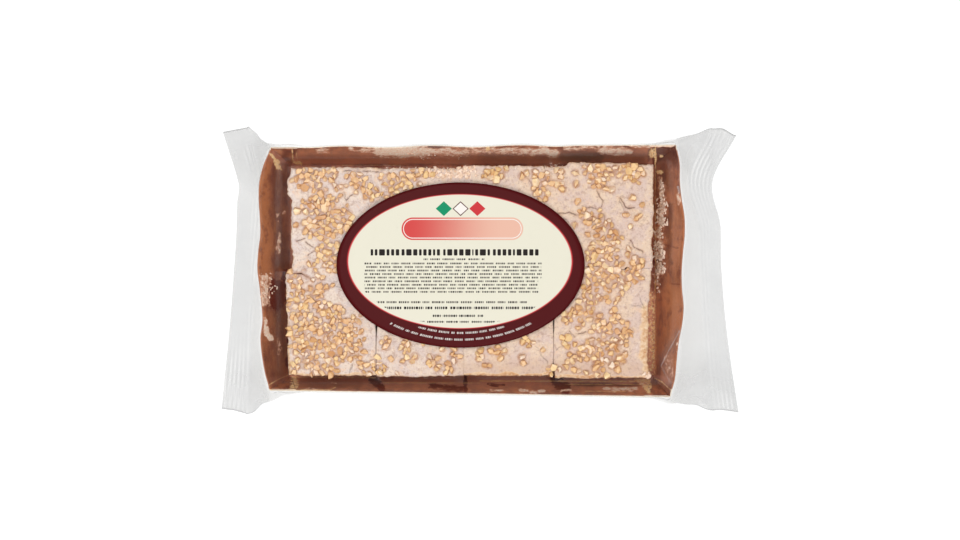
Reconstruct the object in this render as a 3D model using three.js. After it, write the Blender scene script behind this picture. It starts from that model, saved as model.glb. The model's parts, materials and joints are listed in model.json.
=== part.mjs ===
// A flow-wrapped tray of portioned mille feuille, lying on its base, with a paper label on top.
// Millimetres, +Z up, +X along the pack, +Y to its back. The origin is the middle of the base.
//
// The film is drawn tight over the tray's rim, lies on the cut cake inside it, and closes at each
// end in a flat crimped seal. The sealed pack is one solid, and the label is a thin oval on it.

import * as THREE from 'three';
import { LoftGeometry } from 'three/addons/geometries/LoftGeometry.js';

// Tray: its middle sits a little left of the pack's, and its front rim is not quite square to it.
const TRAY_X = -4.5;
const RIM_HEIGHT = 32;
const RIM_HALF_LENGTH = 114.5; // at the corners
const RIM_HALF_WIDTH = 69.4;
const FRONT_TAPER = 0.016; // how far the front rim runs out for each millimetre to the right
const BASE_HALF_LENGTH = 105.5;
const BASE_HALF_WIDTH = 62;
const WALL_BOW = 5.6; // the short walls bend outwards, in two lobes
const WALL_RIPPLE = 1;
const RIPPLE_PITCH = 41;

// Cake under the film: four portions by two, with the film dipping at the rim gap and the cuts.
const CONTENT_Y = -1.1;
const PORTION_LENGTHS = [51, 47, 48.5, 59];
const CAKE_LENGTH = PORTION_LENGTHS.reduce((sum, length) => sum + length, 0);
const CAKE_HALF_WIDTH = 59.2;
const FILM_ON_CAKE = 31.3;
const GAP_SAG = 1.5;
const CUT_DIP = 0.9;
const CUT_HALF_WIDTH = 3;

// Film sides: pulled off the long walls near each end, where the tube flattens into its seal.
const SIDE_MIDDLE = 0.42; // share of the wall, from the rim down, where the side folds
const BELLY_MIDDLE = 0.6;

// Seals: flat strips, crimped in ridges across the pack, that droop between their corners.
const SEAL_LENGTH = 15;
const SEAL_THICKNESS = 0.7;
const SEAL_HEIGHT = 15;
const SEAL_DROOP = 8.5;
const SEAL_CORNER_LIFT = 1.5;
const RIDGES = 6;
const RIDGE_DEPTH = 0.6;
const PLEAT_DEPTH = 0.9;
const PLEAT_PITCH = 27;

// Each seal's outer edge, front to back, as places across the pack and how far out they reach.
// It runs in to a neck behind the middle, and flares from there to the back corner.
const LEFT_END = {
  side: -1, ripplePhase: 0, widen: { front: 2, back: 3 },
  edge: [[-80, 148.4], [-20, 143.8], [24, 140.8], [41, 140.1], [46.5, 139], [79, 147.6]],
  belly: { front: 7.5, back: 5 }, fade: 30,
};
const RIGHT_END = {
  side: 1, ripplePhase: 25, widen: { front: -2, back: 3.5 },
  edge: [[-82, 148.4], [-31, 142.2], [4, 139.6], [26, 139], [50, 134], [77, 147.2]],
  belly: { front: 8.5, back: 8 }, fade: 45,
};

// Label: a paper oval a little left of and behind the middle.
const LABEL_X = -11;
const LABEL_Y = 2.5;
const LABEL_HALF_LENGTH = 70.4;
const LABEL_HALF_WIDTH = 46.9;
const LABEL_THICKNESS = 0.3;
const LABEL_GAP = 0.1;

const SIDE_STEPS = 3;
const SHOULDER_STEPS = 5;
const PORTION_STEPS = 4;
const WIDTH_STEPS = 6;
const OVAL_SIDES = 96;

const lerp = THREE.MathUtils.lerp;

function edgeCurve(end) {
  const points = end.edge.map(([y, reach]) => new THREE.Vector3(end.side * reach, y, SEAL_HEIGHT));
  return new THREE.CatmullRomCurve3(points, false, 'centripetal');
}

const EDGE_CURVES = new Map([LEFT_END, RIGHT_END].map((end) => [end, edgeCurve(end)]));

function rimY(x, back) {
  return back ? RIM_HALF_WIDTH : -RIM_HALF_WIDTH - FRONT_TAPER * (x - TRAY_X);
}

// X of the bowed short rim at one end, for a place across the tray.
function rimX(end, y) {
  const across = Math.min(1, Math.abs(y) / RIM_HALF_WIDTH);
  const arch = Math.sqrt(1 - across ** 3);
  const wave = Math.cos((2 * Math.PI * (y - end.ripplePhase)) / RIPPLE_PITCH);
  const bow = WALL_BOW * arch + WALL_RIPPLE * wave * (1 - across ** 2);
  return TRAY_X + end.side * (RIM_HALF_LENGTH + bow);
}

// Stations across the tray, front to back. Each is a place in the gap inside a rim or on the cake.
function acrossStations() {
  const front = [];
  const back = [];
  const sideWidth = CAKE_HALF_WIDTH - CUT_HALF_WIDTH;
  for (let k = 0; k < WIDTH_STEPS; k++) {
    const offset = CAKE_HALF_WIDTH - (sideWidth * k) / WIDTH_STEPS;
    front.push({ y: CONTENT_Y - offset });
    back.unshift({ y: CONTENT_Y + offset });
  }
  return [
    { back: false, gap: 0 }, { back: false, gap: 0.5 }, ...front,
    { y: CONTENT_Y - CUT_HALF_WIDTH }, { y: CONTENT_Y, cut: true }, { y: CONTENT_Y + CUT_HALF_WIDTH },
    ...back, { back: true, gap: 0.5 }, { back: true, gap: 0 },
  ];
}

// Stations along the tray, left to right, as the same kind of list.
function alongStations() {
  const stations = [{ end: LEFT_END, gap: 0 }, { end: LEFT_END, gap: 0.5 }];
  let start = TRAY_X - CAKE_LENGTH / 2;
  stations.push({ x: start });
  PORTION_LENGTHS.forEach((length, p) => {
    for (let k = 1; k < PORTION_STEPS; k++) stations.push({ x: start + (length * k) / PORTION_STEPS });
    start += length;
    if (p < PORTION_LENGTHS.length - 1) {
      stations.push({ x: start - CUT_HALF_WIDTH }, { x: start, cut: true }, { x: start + CUT_HALF_WIDTH });
    }
  });
  stations.push({ x: start }, { end: RIGHT_END, gap: 0.5 }, { end: RIGHT_END, gap: 0 });
  return stations;
}

const ACROSS = acrossStations();
const ALONG = alongStations();
const LAST = ACROSS.length - 1;
const HALF_RING = LAST + 2 * SIDE_STEPS; // cells from one silhouette of the film to the other

// A place around half a ring, as a share of the film's flat width from -1 at the front to 1.
function flatShare(j) {
  return (2 * j) / HALF_RING - 1;
}

// The film's top at a place over the tray.
function topPoint(along, across) {
  const { end } = along;
  const roughX = end ? TRAY_X + end.side * RIM_HALF_LENGTH : along.x;
  const cakeY = CONTENT_Y + (across.back ? CAKE_HALF_WIDTH : -CAKE_HALF_WIDTH);
  const y = across.y ?? lerp(rimY(roughX, across.back), cakeY, across.gap);
  const x = end ? lerp(rimX(end, y), TRAY_X + (end.side * CAKE_LENGTH) / 2, along.gap) : along.x;
  const onRim = along.gap === 0 || across.gap === 0;
  const inGap = along.gap === 0.5 || across.gap === 0.5;
  const onCut = along.cut || across.cut;
  if (onRim) return new THREE.Vector3(x, y, RIM_HEIGHT);
  if (inGap) return new THREE.Vector3(x, y, FILM_ON_CAKE - GAP_SAG);
  return new THREE.Vector3(x, y, FILM_ON_CAKE - (onCut ? CUT_DIP : 0));
}

function basePoint(share, across) {
  const x = TRAY_X + BASE_HALF_LENGTH * lerp(-1, 1, share);
  return new THREE.Vector3(x, CONTENT_Y + BASE_HALF_WIDTH * across, 0);
}

// How far the film's side stands off a long wall, for a share along the base.
function bellyAt(share, back) {
  const stretch = (end, distance) => {
    const most = back ? end.belly.back : end.belly.front;
    return (most - BELLY_MIDDLE) * Math.exp(-distance / end.fade);
  };
  const length = 2 * BASE_HALF_LENGTH;
  return BELLY_MIDDLE + stretch(LEFT_END, length * share) + stretch(RIGHT_END, length * (1 - share));
}

// The film's side between the rim and the base, pulled outwards by its belly.
function sidePoint(index, back, down) {
  const share = index / (ALONG.length - 1);
  const rim = topPoint(ALONG[index], ACROSS[back ? LAST : 0]);
  const point = rim.lerp(basePoint(share, back ? 1 : -1), down);
  point.y += (back ? 1 : -1) * bellyAt(share, back) * Math.sin(Math.PI * down);
  return point;
}

// Upper and lower half of the film round the tray at one station along it.
function trayHalves(index) {
  const upper = [];
  const lower = [];
  for (let j = 0; j <= HALF_RING; j++) {
    const k = j - SIDE_STEPS;
    if (k < 0 || k > LAST) {
      const back = k > LAST;
      const inwards = (back ? HALF_RING - j : j) / SIDE_STEPS;
      upper.push(sidePoint(index, back, SIDE_MIDDLE * (1 - inwards)));
      lower.push(sidePoint(index, back, lerp(SIDE_MIDDLE, 1, inwards)));
    } else {
      upper.push(topPoint(ALONG[index], ACROSS[k]));
      lower.push(basePoint(index / (ALONG.length - 1), lerp(-1, 1, k / LAST)));
    }
  }
  return { upper, lower };
}

// Middle of the seal strip, from 0 at its outer edge to 1 where the two films part.
function sealPoint(end, share, inwards) {
  const point = EDGE_CURVES.get(end).getPointAt((share + 1) / 2);
  const drop = SEAL_DROOP * (1 - share ** 2) - SEAL_CORNER_LIFT * share ** 4;
  const widen = share > 0 ? end.widen.back : end.widen.front;
  point.x -= end.side * inwards * Math.sqrt(SEAL_LENGTH ** 2 - drop ** 2);
  point.y += share * widen * inwards;
  point.z -= drop * (1 - inwards);
  return point;
}

// One ring of the seal. The ridges move both faces together, and ring 0 closes the outer edge.
function sealHalves(end, ring) {
  const rings = 2 * RIDGES;
  const inwards = Math.max(0, ring - 1) / rings;
  const flat = ring <= 1 || ring > rings;
  const ridge = flat ? 0 : ((ring % 2 ? 1 : -1) * RIDGE_DEPTH) / 2;
  const upper = [];
  const lower = [];
  for (let j = 0; j <= HALF_RING; j++) {
    const point = sealPoint(end, flatShare(j), inwards);
    const thick = ring === 0 || j === 0 || j === HALF_RING ? 0 : SEAL_THICKNESS / 2;
    upper.push(point.clone().setZ(point.z + ridge + thick));
    lower.push(point.clone().setZ(point.z + ridge - thick));
  }
  return { upper, lower };
}

// One ring between the seal (step 0) and the tray's end, with soft pleats in the upper film.
function shoulderHalves(end, step) {
  const t = step / SHOULDER_STEPS;
  const seal = sealHalves(end, 2 * RIDGES + 1);
  const tray = trayHalves(end.side < 0 ? 0 : ALONG.length - 1);
  const early = 1 - (1 - t) ** 2; // the sides draw in to the tray before the middle does
  const blend = (from, to, j) => {
    const point = from.clone().lerp(to, t);
    point.y = lerp(from.y, to.y, lerp(t, early, flatShare(j) ** 4));
    return point;
  };
  const upper = seal.upper.map((point, j) => {
    const made = blend(point, tray.upper[j], j);
    const pleat = Math.cos((2 * Math.PI * made.y) / PLEAT_PITCH) * (1 - flatShare(j) ** 2);
    made.x += end.side * PLEAT_DEPTH * pleat * Math.sin(Math.PI * t);
    return made;
  });
  const lower = seal.lower.map((point, j) => blend(point, tray.lower[j], j));
  return { upper, lower };
}

// A closed section: front to back along the lower film, then back to front along the upper one.
function sectionOf({ upper, lower }) {
  return [...lower.slice(0, HALF_RING), ...upper.slice(1).reverse()];
}

function packGeometry() {
  const rings = 2 * RIDGES + 1;
  const halves = [];
  for (let ring = 0; ring <= rings; ring++) halves.push(sealHalves(LEFT_END, ring));
  for (let step = 1; step < SHOULDER_STEPS; step++) halves.push(shoulderHalves(LEFT_END, step));
  for (let index = 0; index < ALONG.length; index++) halves.push(trayHalves(index));
  for (let step = SHOULDER_STEPS - 1; step > 0; step--) halves.push(shoulderHalves(RIGHT_END, step));
  for (let ring = rings; ring >= 0; ring--) halves.push(sealHalves(RIGHT_END, ring));
  return new LoftGeometry(halves.map(sectionOf), { closed: true });
}

function labelGeometry() {
  const oval = new THREE.Shape();
  oval.absellipse(0, 0, LABEL_HALF_LENGTH, LABEL_HALF_WIDTH, 0, 2 * Math.PI, false, 0);
  return new THREE.ExtrudeGeometry(oval, {
    depth: LABEL_THICKNESS, bevelEnabled: false, curveSegments: OVAL_SIDES,
  });
}

const clearFilm = new THREE.MeshStandardMaterial({
  color: 0xe6e4df, roughness: 0.18, metalness: 0, transparent: true, opacity: 0.4,
});
const labelPaper = new THREE.MeshStandardMaterial({ color: 0xefead6, roughness: 0.45, metalness: 0 });

const pack = new THREE.Mesh(packGeometry(), clearFilm);
pack.name = 'film_pack';

const label = new THREE.Mesh(labelGeometry(), labelPaper);
label.name = 'label';
label.position.set(LABEL_X, LABEL_Y, FILM_ON_CAKE + LABEL_GAP);

const part = new THREE.Group();
part.add(pack, label);

export default part;
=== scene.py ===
import json
import math
from functools import lru_cache

import bmesh
import bpy
import numpy as np
from mathutils import Matrix, Vector
from mathutils.bvhtree import BVHTree


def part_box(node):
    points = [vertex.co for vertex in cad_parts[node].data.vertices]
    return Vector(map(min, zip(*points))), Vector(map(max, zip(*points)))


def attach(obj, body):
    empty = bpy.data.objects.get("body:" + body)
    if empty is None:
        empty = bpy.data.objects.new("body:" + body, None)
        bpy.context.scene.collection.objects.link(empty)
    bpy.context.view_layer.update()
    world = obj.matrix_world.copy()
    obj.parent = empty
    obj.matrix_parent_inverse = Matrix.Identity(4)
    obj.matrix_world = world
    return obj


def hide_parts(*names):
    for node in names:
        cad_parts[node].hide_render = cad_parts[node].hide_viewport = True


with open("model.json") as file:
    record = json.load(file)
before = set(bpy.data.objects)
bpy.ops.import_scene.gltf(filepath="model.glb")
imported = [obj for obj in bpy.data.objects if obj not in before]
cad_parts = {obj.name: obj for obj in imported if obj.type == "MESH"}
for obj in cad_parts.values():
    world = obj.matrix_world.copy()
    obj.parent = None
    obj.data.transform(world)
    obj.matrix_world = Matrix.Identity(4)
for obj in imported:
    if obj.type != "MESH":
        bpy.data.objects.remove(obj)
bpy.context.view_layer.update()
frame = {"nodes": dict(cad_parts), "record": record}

MM = 0.001
_, PACK_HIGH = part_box("film_pack")
LABEL_LOW, LABEL_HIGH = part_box("label")
BASE = frame["record"]["mounts"][0]["pos_m"]
TRAY_X, TRAY_Y = BASE[0], BASE[1]

# Board tray, measured inside its walls.
BOARD = 0.55 * MM
FILM_GAP = 0.25 * MM
RIM_Z = PACK_HIGH.z - 0.6 * MM
FLOOR_Z = 1.2 * MM
SIDE_FILM_GAP = 0.9 * MM
RIM_HALF_LENGTH = 114.6 * MM
RIM_BACK = 69.7 * MM
BACK_TAPER = 0.006
RIM_FRONT = -70.15 * MM
FRONT_TAPER = 0.0165
BASE_HALF_LENGTH = 106.0 * MM
BASE_HALF_WIDTH = 61.4 * MM
WALL_CURVE = 1.12
# Inside rims of the short walls at even steps from front to back, in millimetres.
LEFT_RIM = (-119.2, -121.6, -123.3, -124.1, -123.0, -123.6, -124.7, -125.9, -125.4, -124.2, -124.5, -125.1,
            -124.8, -122.4, -118.5)
RIGHT_RIM = (107.7, 110.1, 111.1, 112.2, 114.2, 115.1, 114.2, 114.0, 114.7, 115.7, 115.6, 114.0, 112.9,
             112.8, 111.0)
BACK_RIPPLE = 0.5 * MM
BACK_RIPPLE_PITCH = 50 * MM
BACK_RIPPLE_PHASE = -28 * MM
GUSSET_LENGTH = 14.5 * MM

# Cake: two rows of four portions. For each row, in millimetres: where the outer side of each portion
# lies (outer), and each cut at the row's front and back (cuts), with how wide it may gape (open) and
# how dark the painted shade along it is (shown).
CAKE_TOP = 29.2 * MM
ROWS = (
    {"name": "front", "outer": (-60.3, -60.7, -60.4, -61.8), "open": (0, 1.0, 0.12, 0.95, 0),
     "shown": (0, 1, 0.25, 1, 0),
     "cuts": ((-108.4, -110.6), (-58.7, -59.3), (-9.4, -9.2), (41.8, 42.3), (95.3, 97.2))},
    {"name": "back", "outer": (57.8, 57.5, 58.9, 60.7), "open": (0, 0.03, 0.03, 0.06, 0),
     "shown": (0, 0.12, 0.1, 0.16, 0),
     "cuts": ((-107.2, -107.4), (-56.5, -56.1), (-9.0, -9.1), (37.2, 36.8), (97.9, 98.6))},
)
# The cut between the rows, from place to place in millimetres.
ROW_CUT = ((-112, -2.6), (-101, -2.8), (-96, -5.6), (-84, -6.6), (-60, -5), (0, -2), (55, 1.4),
           (66, 1.8), (75, 0.1), (100, 0.4))
# Places along the cut between the rows where it gapes: middle, half length and width.
ROW_GAPS = ((-103.5, 3.4, 0.3), (63.5, 1.8, 0.7), (74.3, 1.7, 0.8), (78.6, 1.6, 0.7), (83.6, 1.7, 1.0))
# Bulges of the outer short edges: row, cut, middle, half length and how far to the right.
BULGES = ((1, 0, 47, 8, -2.3), (1, 0, 5, 10, 0.5), (0, 4, -34, 24, -0.7))
# Dents in the outer long edges: row, middle, half length and how far inwards.
DENTS = ((1, 43.2, 7.5, 2.2), (1, 92, 8, 0.9))
# Stretch of the cut between the rows that has closed up.
CLOSED_CUT = (-99, -82)
ROW_DEPTH = 58.5 * MM
CRUST_CELL = 0.4 * MM
CRUST_SKIRT = 1.6 * MM
# Layers of a portion from its base up, and the shares that they have of its height.
LAYERS = (("pastry", 5.0), ("custard", 6.5), ("pastry", 4.5), ("cocoa", 6.5), ("pastry", 4.5))
STACK_INSET = 0.8 * MM
STACK_LOW, STACK_HIGH = FLOOR_Z + 0.15 * MM, CAKE_TOP - 1.4 * MM

# Cracks in the sugar that run where the crust has broken, each as a chain of places.
CRACKS = (
    (44, 31.5, 51, 32.3, 55, 31.2, 58.5, 31.6), (58.5, 34.4, 62.5, 35.4, 67, 34.6, 69.9, 31.5, 71, 27),
    (66.5, 45.2, 68.2, 41.8, 69.9, 39.5, 69.3, 36.1), (79.8, 40.6, 82.4, 35.5, 87.5, 34.9),
    (85, 16.8, 87.5, 13.4, 92.6, 9.9), (-104, 16.2, -99.4, 17.3), (-98.9, 15.1, -94.9, 12.8, -90.9, 9.9),
    (-97.7, 7.7, -93.2, 11.1), (-77.3, 43.5, -76.1, 39.5, -73.9, 41.8, -70.5, 43.5), (-94, 42.2, -90, 41.9),
    (54, -36.2, 58, -36, 63, -35.2), (51, -35, 53.2, -38), (64, -29.5, 63.6, -33),
    (-92, -18, -97, -25), (-104, -29.5, -98, -32, -92, -31), (30, 47, 27, 52, 22, 55),
    (-77.5, 56.2, -66, 55.8, -56, 55.9),
)

# Chopped nuts lie in heaps: place along and across the pack, reach and number.
NUT_HEAPS = (
    # back row, left to right
    (-103, 58, 2, 3), (-101, 52.5, 3, 6), (-97, 49, 2.5, 3), (-92, 53, 3.5, 7), (-85, 56, 4, 8),
    (-80, 46, 2.5, 3), (-71, 51, 4, 8), (-64, 45, 3.5, 7), (-60, 43, 2.5, 4), (-75.3, 36.3, 0.3, 1),
    (-98, 36, 3.5, 8), (-92, 40, 4, 6), (-86, 39, 3, 5), (-90, 31, 4, 9), (-85, 27, 4.5, 11),
    (-78, 27.5, 4, 10), (-98, 24.5, 2.5, 6), (-88, 21, 3, 6), (-84, 12, 3, 6), (-86, 6.5, 4, 7),
    (-95, 0.5, 3, 4), (-84, 2, 2, 4), (-91, -4.3, 1.5, 3), (-52, 50, 3, 4), (-46, 50, 3, 5),
    (-50, 46, 2.5, 4), (-37, 55, 3.5, 12), (-38, 50, 2.5, 4), (-30, 56, 2, 2), (8, 56.5, 3.5, 6),
    (8, 52, 2, 3), (24.7, 54.5, 1.5, 2), (35, 53, 3, 6), (33.5, 45, 3, 6), (44.6, 57.3, 2, 5),
    (38, 52.6, 1.5, 2), (44.8, 48.5, 2, 3), (54.5, 54, 1, 1), (55, 50.3, 1, 1), (55.7, 38.5, 0.5, 1),
    (62, 58, 2, 3), (67, 57, 3, 6), (72, 58, 2, 3), (80, 58.5, 3, 6), (85.5, 58.5, 2, 3), (90, 57.5, 2, 3),
    (67.5, 51.8, 3, 8), (74.5, 53, 1.5, 2), (86, 53.4, 3, 7), (66.5, 47.2, 1.5, 2), (75.3, 45, 0.5, 1),
    (85.8, 40.5, 0.4, 1), (92, 36.4, 0.4, 1), (90.3, 30.1, 1.3, 2), (82.4, 31, 0.4, 1), (85.7, 25.1, 1, 2),
    (58.6, 32.6, 2, 3), (61.8, 28, 1.5, 3), (65.6, 29, 2, 5), (67.3, 23.9, 2, 5), (72.2, 27.2, 1.5, 2),
    (53, 25, 1.5, 2), (74, 23, 2.5, 4), (75.9, 18, 1.5, 2), (81.1, 18, 0.4, 1), (62, 19.3, 0.5, 1),
    (73, 14.5, 3.5, 8), (72, 11, 2, 4), (64, 13, 2, 5), (64, 8, 2, 4), (84, 9.3, 1.2, 2),
    (75.3, 7, 2.5, 6), (66.5, 5, 3, 6), (80.3, 3.3, 0.5, 1), (89, 3, 3, 5),
    # front row, left to right
    (-107, -6, 3, 5), (-90, -9.5, 1.2, 2), (-84.4, -8.6, 1.5, 3), (-103, -15, 4, 14), (-94, -15.5, 3.5, 9),
    (-107, -20, 2, 3), (-102.5, -26, 3.5, 9), (-98, -22, 1, 2), (-90.8, -20.7, 1.8, 3), (-87, -25.5, 4.5, 11),
    (-80, -27, 3.5, 8), (-74, -29.5, 3, 6), (-103, -34, 4, 11), (-98, -33, 2, 4), (-90, -34.5, 4.5, 11),
    (-80, -35, 4.5, 10), (-73.5, -35, 3, 5), (-99, -44, 4.5, 18), (-93, -40, 1.5, 2), (-86, -42, 4, 11),
    (-77, -42, 3.5, 9), (-70, -41, 3, 5), (-66.5, -47.5, 1.2, 2), (-75.5, -48.5, 3.5, 8),
    (-95, -51.5, 4.5, 8), (-82, -52, 1.5, 3), (-67, -54.5, 2, 3), (-61.5, -55, 1.8, 5), (-105, -57, 2, 2),
    (-86, -58, 3, 4), (-54, -40, 2, 3), (-43, -43.6, 3, 6), (-49.6, -50, 0.8, 1), (-43.4, -52.6, 1, 2),
    (-38.5, -50, 2, 3), (-29.4, -52.6, 0.3, 1), (-25, -52, 2.5, 6), (-22, -45.5, 1.2, 2), (-13, -49.5, 2, 4),
    (-18, -56.8, 2, 4), (-57.5, -55.5, 2.5, 9), (-0.5, -48.5, 1.8, 4), (4.6, -53.6, 1.2, 2),
    (9.5, -45.5, 2, 3), (11.8, -50, 1.2, 2), (27, -41, 1.8, 4), (22.7, -50.7, 1.2, 2), (35.2, -45.5, 0.8, 1),
    (40.5, -56.5, 2, 4), (61, -1.5, 2.5, 6), (69, -1, 2, 4), (74, -2, 2, 4), (79, -3, 2.5, 5),
    (87.5, -2.5, 3, 9), (83.5, -8.5, 1.2, 2), (63.5, -9.5, 3, 8), (71.8, -8.5, 2, 5), (60.5, -15.5, 3, 8),
    (66.5, -15.8, 2.2, 5), (72.3, -16.7, 1.2, 2), (77, -16.7, 1.2, 2), (81, -12.5, 1.5, 2), (57, -23, 2, 3),
    (61.5, -23.3, 2, 4), (50.2, -27.6, 2, 4), (57, -29, 3, 5), (76.5, -26.8, 1.8, 4), (69.5, -32.5, 3.5, 10),
    (80.3, -29.5, 0.5, 1), (81.5, -37, 3, 9), (64.4, -39.5, 0.5, 1), (49.2, -40, 2, 4), (54, -42.5, 1, 2),
    (69.7, -40.5, 2, 4), (76, -43.2, 2.5, 6), (61.5, -44.7, 2.5, 6), (67, -47.3, 2, 5), (72, -47, 1.5, 3),
    (69.2, -50.5, 2, 4), (79, -50, 2.5, 6), (53, -51.3, 2.5, 6), (60.7, -50.7, 0.5, 1), (56, -57, 0.5, 1),
    (60.7, -58.5, 0.5, 1), (77.4, -57, 1, 2), (68, -57, 3, 3),
)
STRAY_NUTS, TRIES_FOR_EACH = 50, 20
STRAY_ALONG, STRAY_ACROSS = (-110, 97), (-60, 58)
NUT_LENGTH = (3.7 * MM, 6.6 * MM)
# How long strays and nuts that lie on others are beside the rest.
SMALL_NUT = 0.8
# How many times its number a heap of more than two nuts gets.
CROWDING = 1.2
# How near two nuts may lie, as a share of their lengths together.
HEAP_SPREAD, STRAY_SPREAD = 0.27, 0.8
# Nuts that lie on others: how much higher, and how many for each nut past the first few of a heap.
UPPER_LIFT, UPPER_SHARE, FIRST_FEW = 0.8 * MM, 0.2, 4
UNDER_LABEL = 4 * MM

SEED = 31
UP = Vector((0, 0, 1))


# Random fields and soft steps, for whole arrays at once.

LATTICE_CELLS = 61
LATTICE_SHIFT = 1000
FINER_WEIGHT = 0.55


@lru_cache(maxsize=None)
def lattice(seed):
    """Random numbers at the corners of a square lattice, made once for each seed."""
    return np.random.default_rng(seed).random((LATTICE_CELLS, LATTICE_CELLS))


def lattice_field(x, y, pitch, seed):
    """Smooth random field from 0 to 1, with lumps about one pitch across."""
    table = lattice(seed)
    u, v = np.asarray(x) / pitch + LATTICE_SHIFT, np.asarray(y) / pitch + LATTICE_SHIFT
    i, j = np.floor(u).astype(int), np.floor(v).astype(int)
    s, t = u - i, v - j
    s, t = s * s * (3 - 2 * s), t * t * (3 - 2 * t)
    i, next_i = i % LATTICE_CELLS, (i + 1) % LATTICE_CELLS
    j, next_j = j % LATTICE_CELLS, (j + 1) % LATTICE_CELLS
    low = table[i, j] * (1 - s) + table[next_i, j] * s
    high = table[i, next_j] * (1 - s) + table[next_i, next_j] * s
    return low * (1 - t) + high * t


def rough_field(x, y, pitch, seed, octaves=3):
    """Random field with finer lumps on its lumps, from about -1 to 1."""
    total, weight, size = 0.0, 0.0, 1.0
    for k in range(octaves):
        total = total + size * (2 * lattice_field(x, y, pitch / 2 ** k, seed + k) - 1)
        weight += size
        size *= FINER_WEIGHT
    return total / weight


def soft_step(value, low, high):
    """0 up to low, rising softly to 1 at high."""
    t = np.clip((np.asarray(value) - low) / (high - low), 0, 1)
    return t * t * (3 - 2 * t)


def fade_out(value, start, stop):
    """1 up to start, falling softly to 0 at stop."""
    return soft_step(-np.asarray(value), -stop, -start)


def near(value, line, half_width, core=0.3):
    """1 on a line and out to its core, and 0 beyond its half width."""
    return fade_out(np.abs(value - line), half_width * core, half_width)


def chain_distance(x, y, chain):
    """Distance in metres to a chain of straight stretches given as x, y, x, y in millimetres."""
    places = np.array(chain, dtype=float).reshape(-1, 2) * MM
    nearest = np.full(np.shape(x), 1.0)
    for start, stop in zip(places[:-1], places[1:]):
        run = stop - start
        share = ((x - start[0]) * run[0] + (y - start[1]) * run[1]) / (run @ run)
        share = np.clip(share, 0, 1)
        away = np.hypot(x - start[0] - run[0] * share, y - start[1] - run[1] * share)
        nearest = np.minimum(nearest, away)
    return nearest


# Meshes and pieces.

def keep_mesh(bm, name):
    """Turns a bmesh into a mesh and frees it."""
    mesh = bpy.data.meshes.new(name)
    bm.to_mesh(mesh)
    bm.free()
    return mesh


def grid_mesh(name, columns, rows, place):
    """A grid of quads whose corners place(u, v) puts where they go, for u and v from 0 to 1."""
    bm = bmesh.new()
    bmesh.ops.create_grid(bm, x_segments=columns, y_segments=rows, size=0.5)
    mesh = keep_mesh(bm, name)
    points = read_points(mesh)
    write_points(mesh, place(points[:, 0] + 0.5, points[:, 1] + 0.5))
    return mesh


def read_points(mesh):
    points = np.empty(len(mesh.vertices) * 3)
    mesh.vertices.foreach_get("co", points)
    return points.reshape(-1, 3)


def read_normals(mesh):
    normals = np.empty(len(mesh.vertices) * 3)
    mesh.vertex_normals.foreach_get("vector", normals)
    return normals.reshape(-1, 3)


def write_points(mesh, points):
    mesh.vertices.foreach_set("co", np.ascontiguousarray(points, dtype=float).ravel())
    mesh.update()


def stack(*columns):
    """Points from their columns of numbers, some of which may be one number."""
    return np.stack(np.broadcast_arrays(*columns), axis=-1).astype(float)


def set_values(mesh, name, values):
    """Stores one number for each corner point, which a material reads by its name."""
    layer = mesh.attributes.new(name, "FLOAT", "POINT")
    layer.data.foreach_set("value", np.ascontiguousarray(values, dtype=float).ravel())


def edit_mesh(mesh, change):
    """Opens a mesh as a bmesh for a change to it."""
    bm = bmesh.new()
    bm.from_mesh(mesh)
    change(bm)
    bm.to_mesh(mesh)
    bm.free()


def merge_near(bm, distance=0.01 * MM):
    bmesh.ops.remove_doubles(bm, verts=bm.verts, dist=distance)


def face_outwards(bm):
    bmesh.ops.recalc_face_normals(bm, faces=bm.faces)


def open_edges(bm):
    return [edge for edge in bm.edges if edge.is_boundary]


def make_piece(mesh, slot, *materials, smooth=True):
    """An object of this mesh that rides the body."""
    mesh.polygons.foreach_set("use_smooth", [smooth] * len(mesh.polygons))
    for material in materials:
        mesh.materials.append(material)
    piece = bpy.data.objects.new(mesh.name, mesh)
    bpy.context.scene.collection.objects.link(piece)
    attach(piece, "root")
    return piece


def search_tree(piece):
    return BVHTree.FromObject(piece, bpy.context.evaluated_depsgraph_get())


# Node trees.

def fill_sockets(tree, made, sockets):
    for name, value in sockets.items():
        if isinstance(value, bpy.types.NodeSocket):
            tree.links.new(value, made.inputs[name])
        else:
            made.inputs[name].default_value = value


def add_node(tree, kind, sockets=None, **settings):
    """A node with its settings, and its inputs set to numbers or joined to sockets."""
    made = tree.nodes.new(kind)
    for name, value in settings.items():
        setattr(made, name, value)
    fill_sockets(tree, made, sockets or {})
    return made


def calc(tree, operation, *values, clamp=False):
    """One Math node of numbers or sockets."""
    sockets = dict(enumerate(values))
    return add_node(tree, "ShaderNodeMath", sockets, operation=operation, use_clamp=clamp).outputs[0]


def calc_vector(tree, operation, *values, out="Vector"):
    """One Vector Math node."""
    sockets = dict(enumerate(values))
    return add_node(tree, "ShaderNodeVectorMath", sockets, operation=operation).outputs[out]


def scale_vector(tree, vector, share):
    return add_node(tree, "ShaderNodeVectorMath", {0: vector, "Scale": share}, operation="SCALE").outputs[0]


def split(tree, vector):
    """The three parts of a vector."""
    return add_node(tree, "ShaderNodeSeparateXYZ", {0: vector}).outputs


def length_of(tree, across, up):
    """The length of a slanting line from its two parts."""
    squares = calc(tree, "ADD", calc(tree, "MULTIPLY", across, across), calc(tree, "MULTIPLY", up, up))
    return calc(tree, "SQRT", squares)


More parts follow.
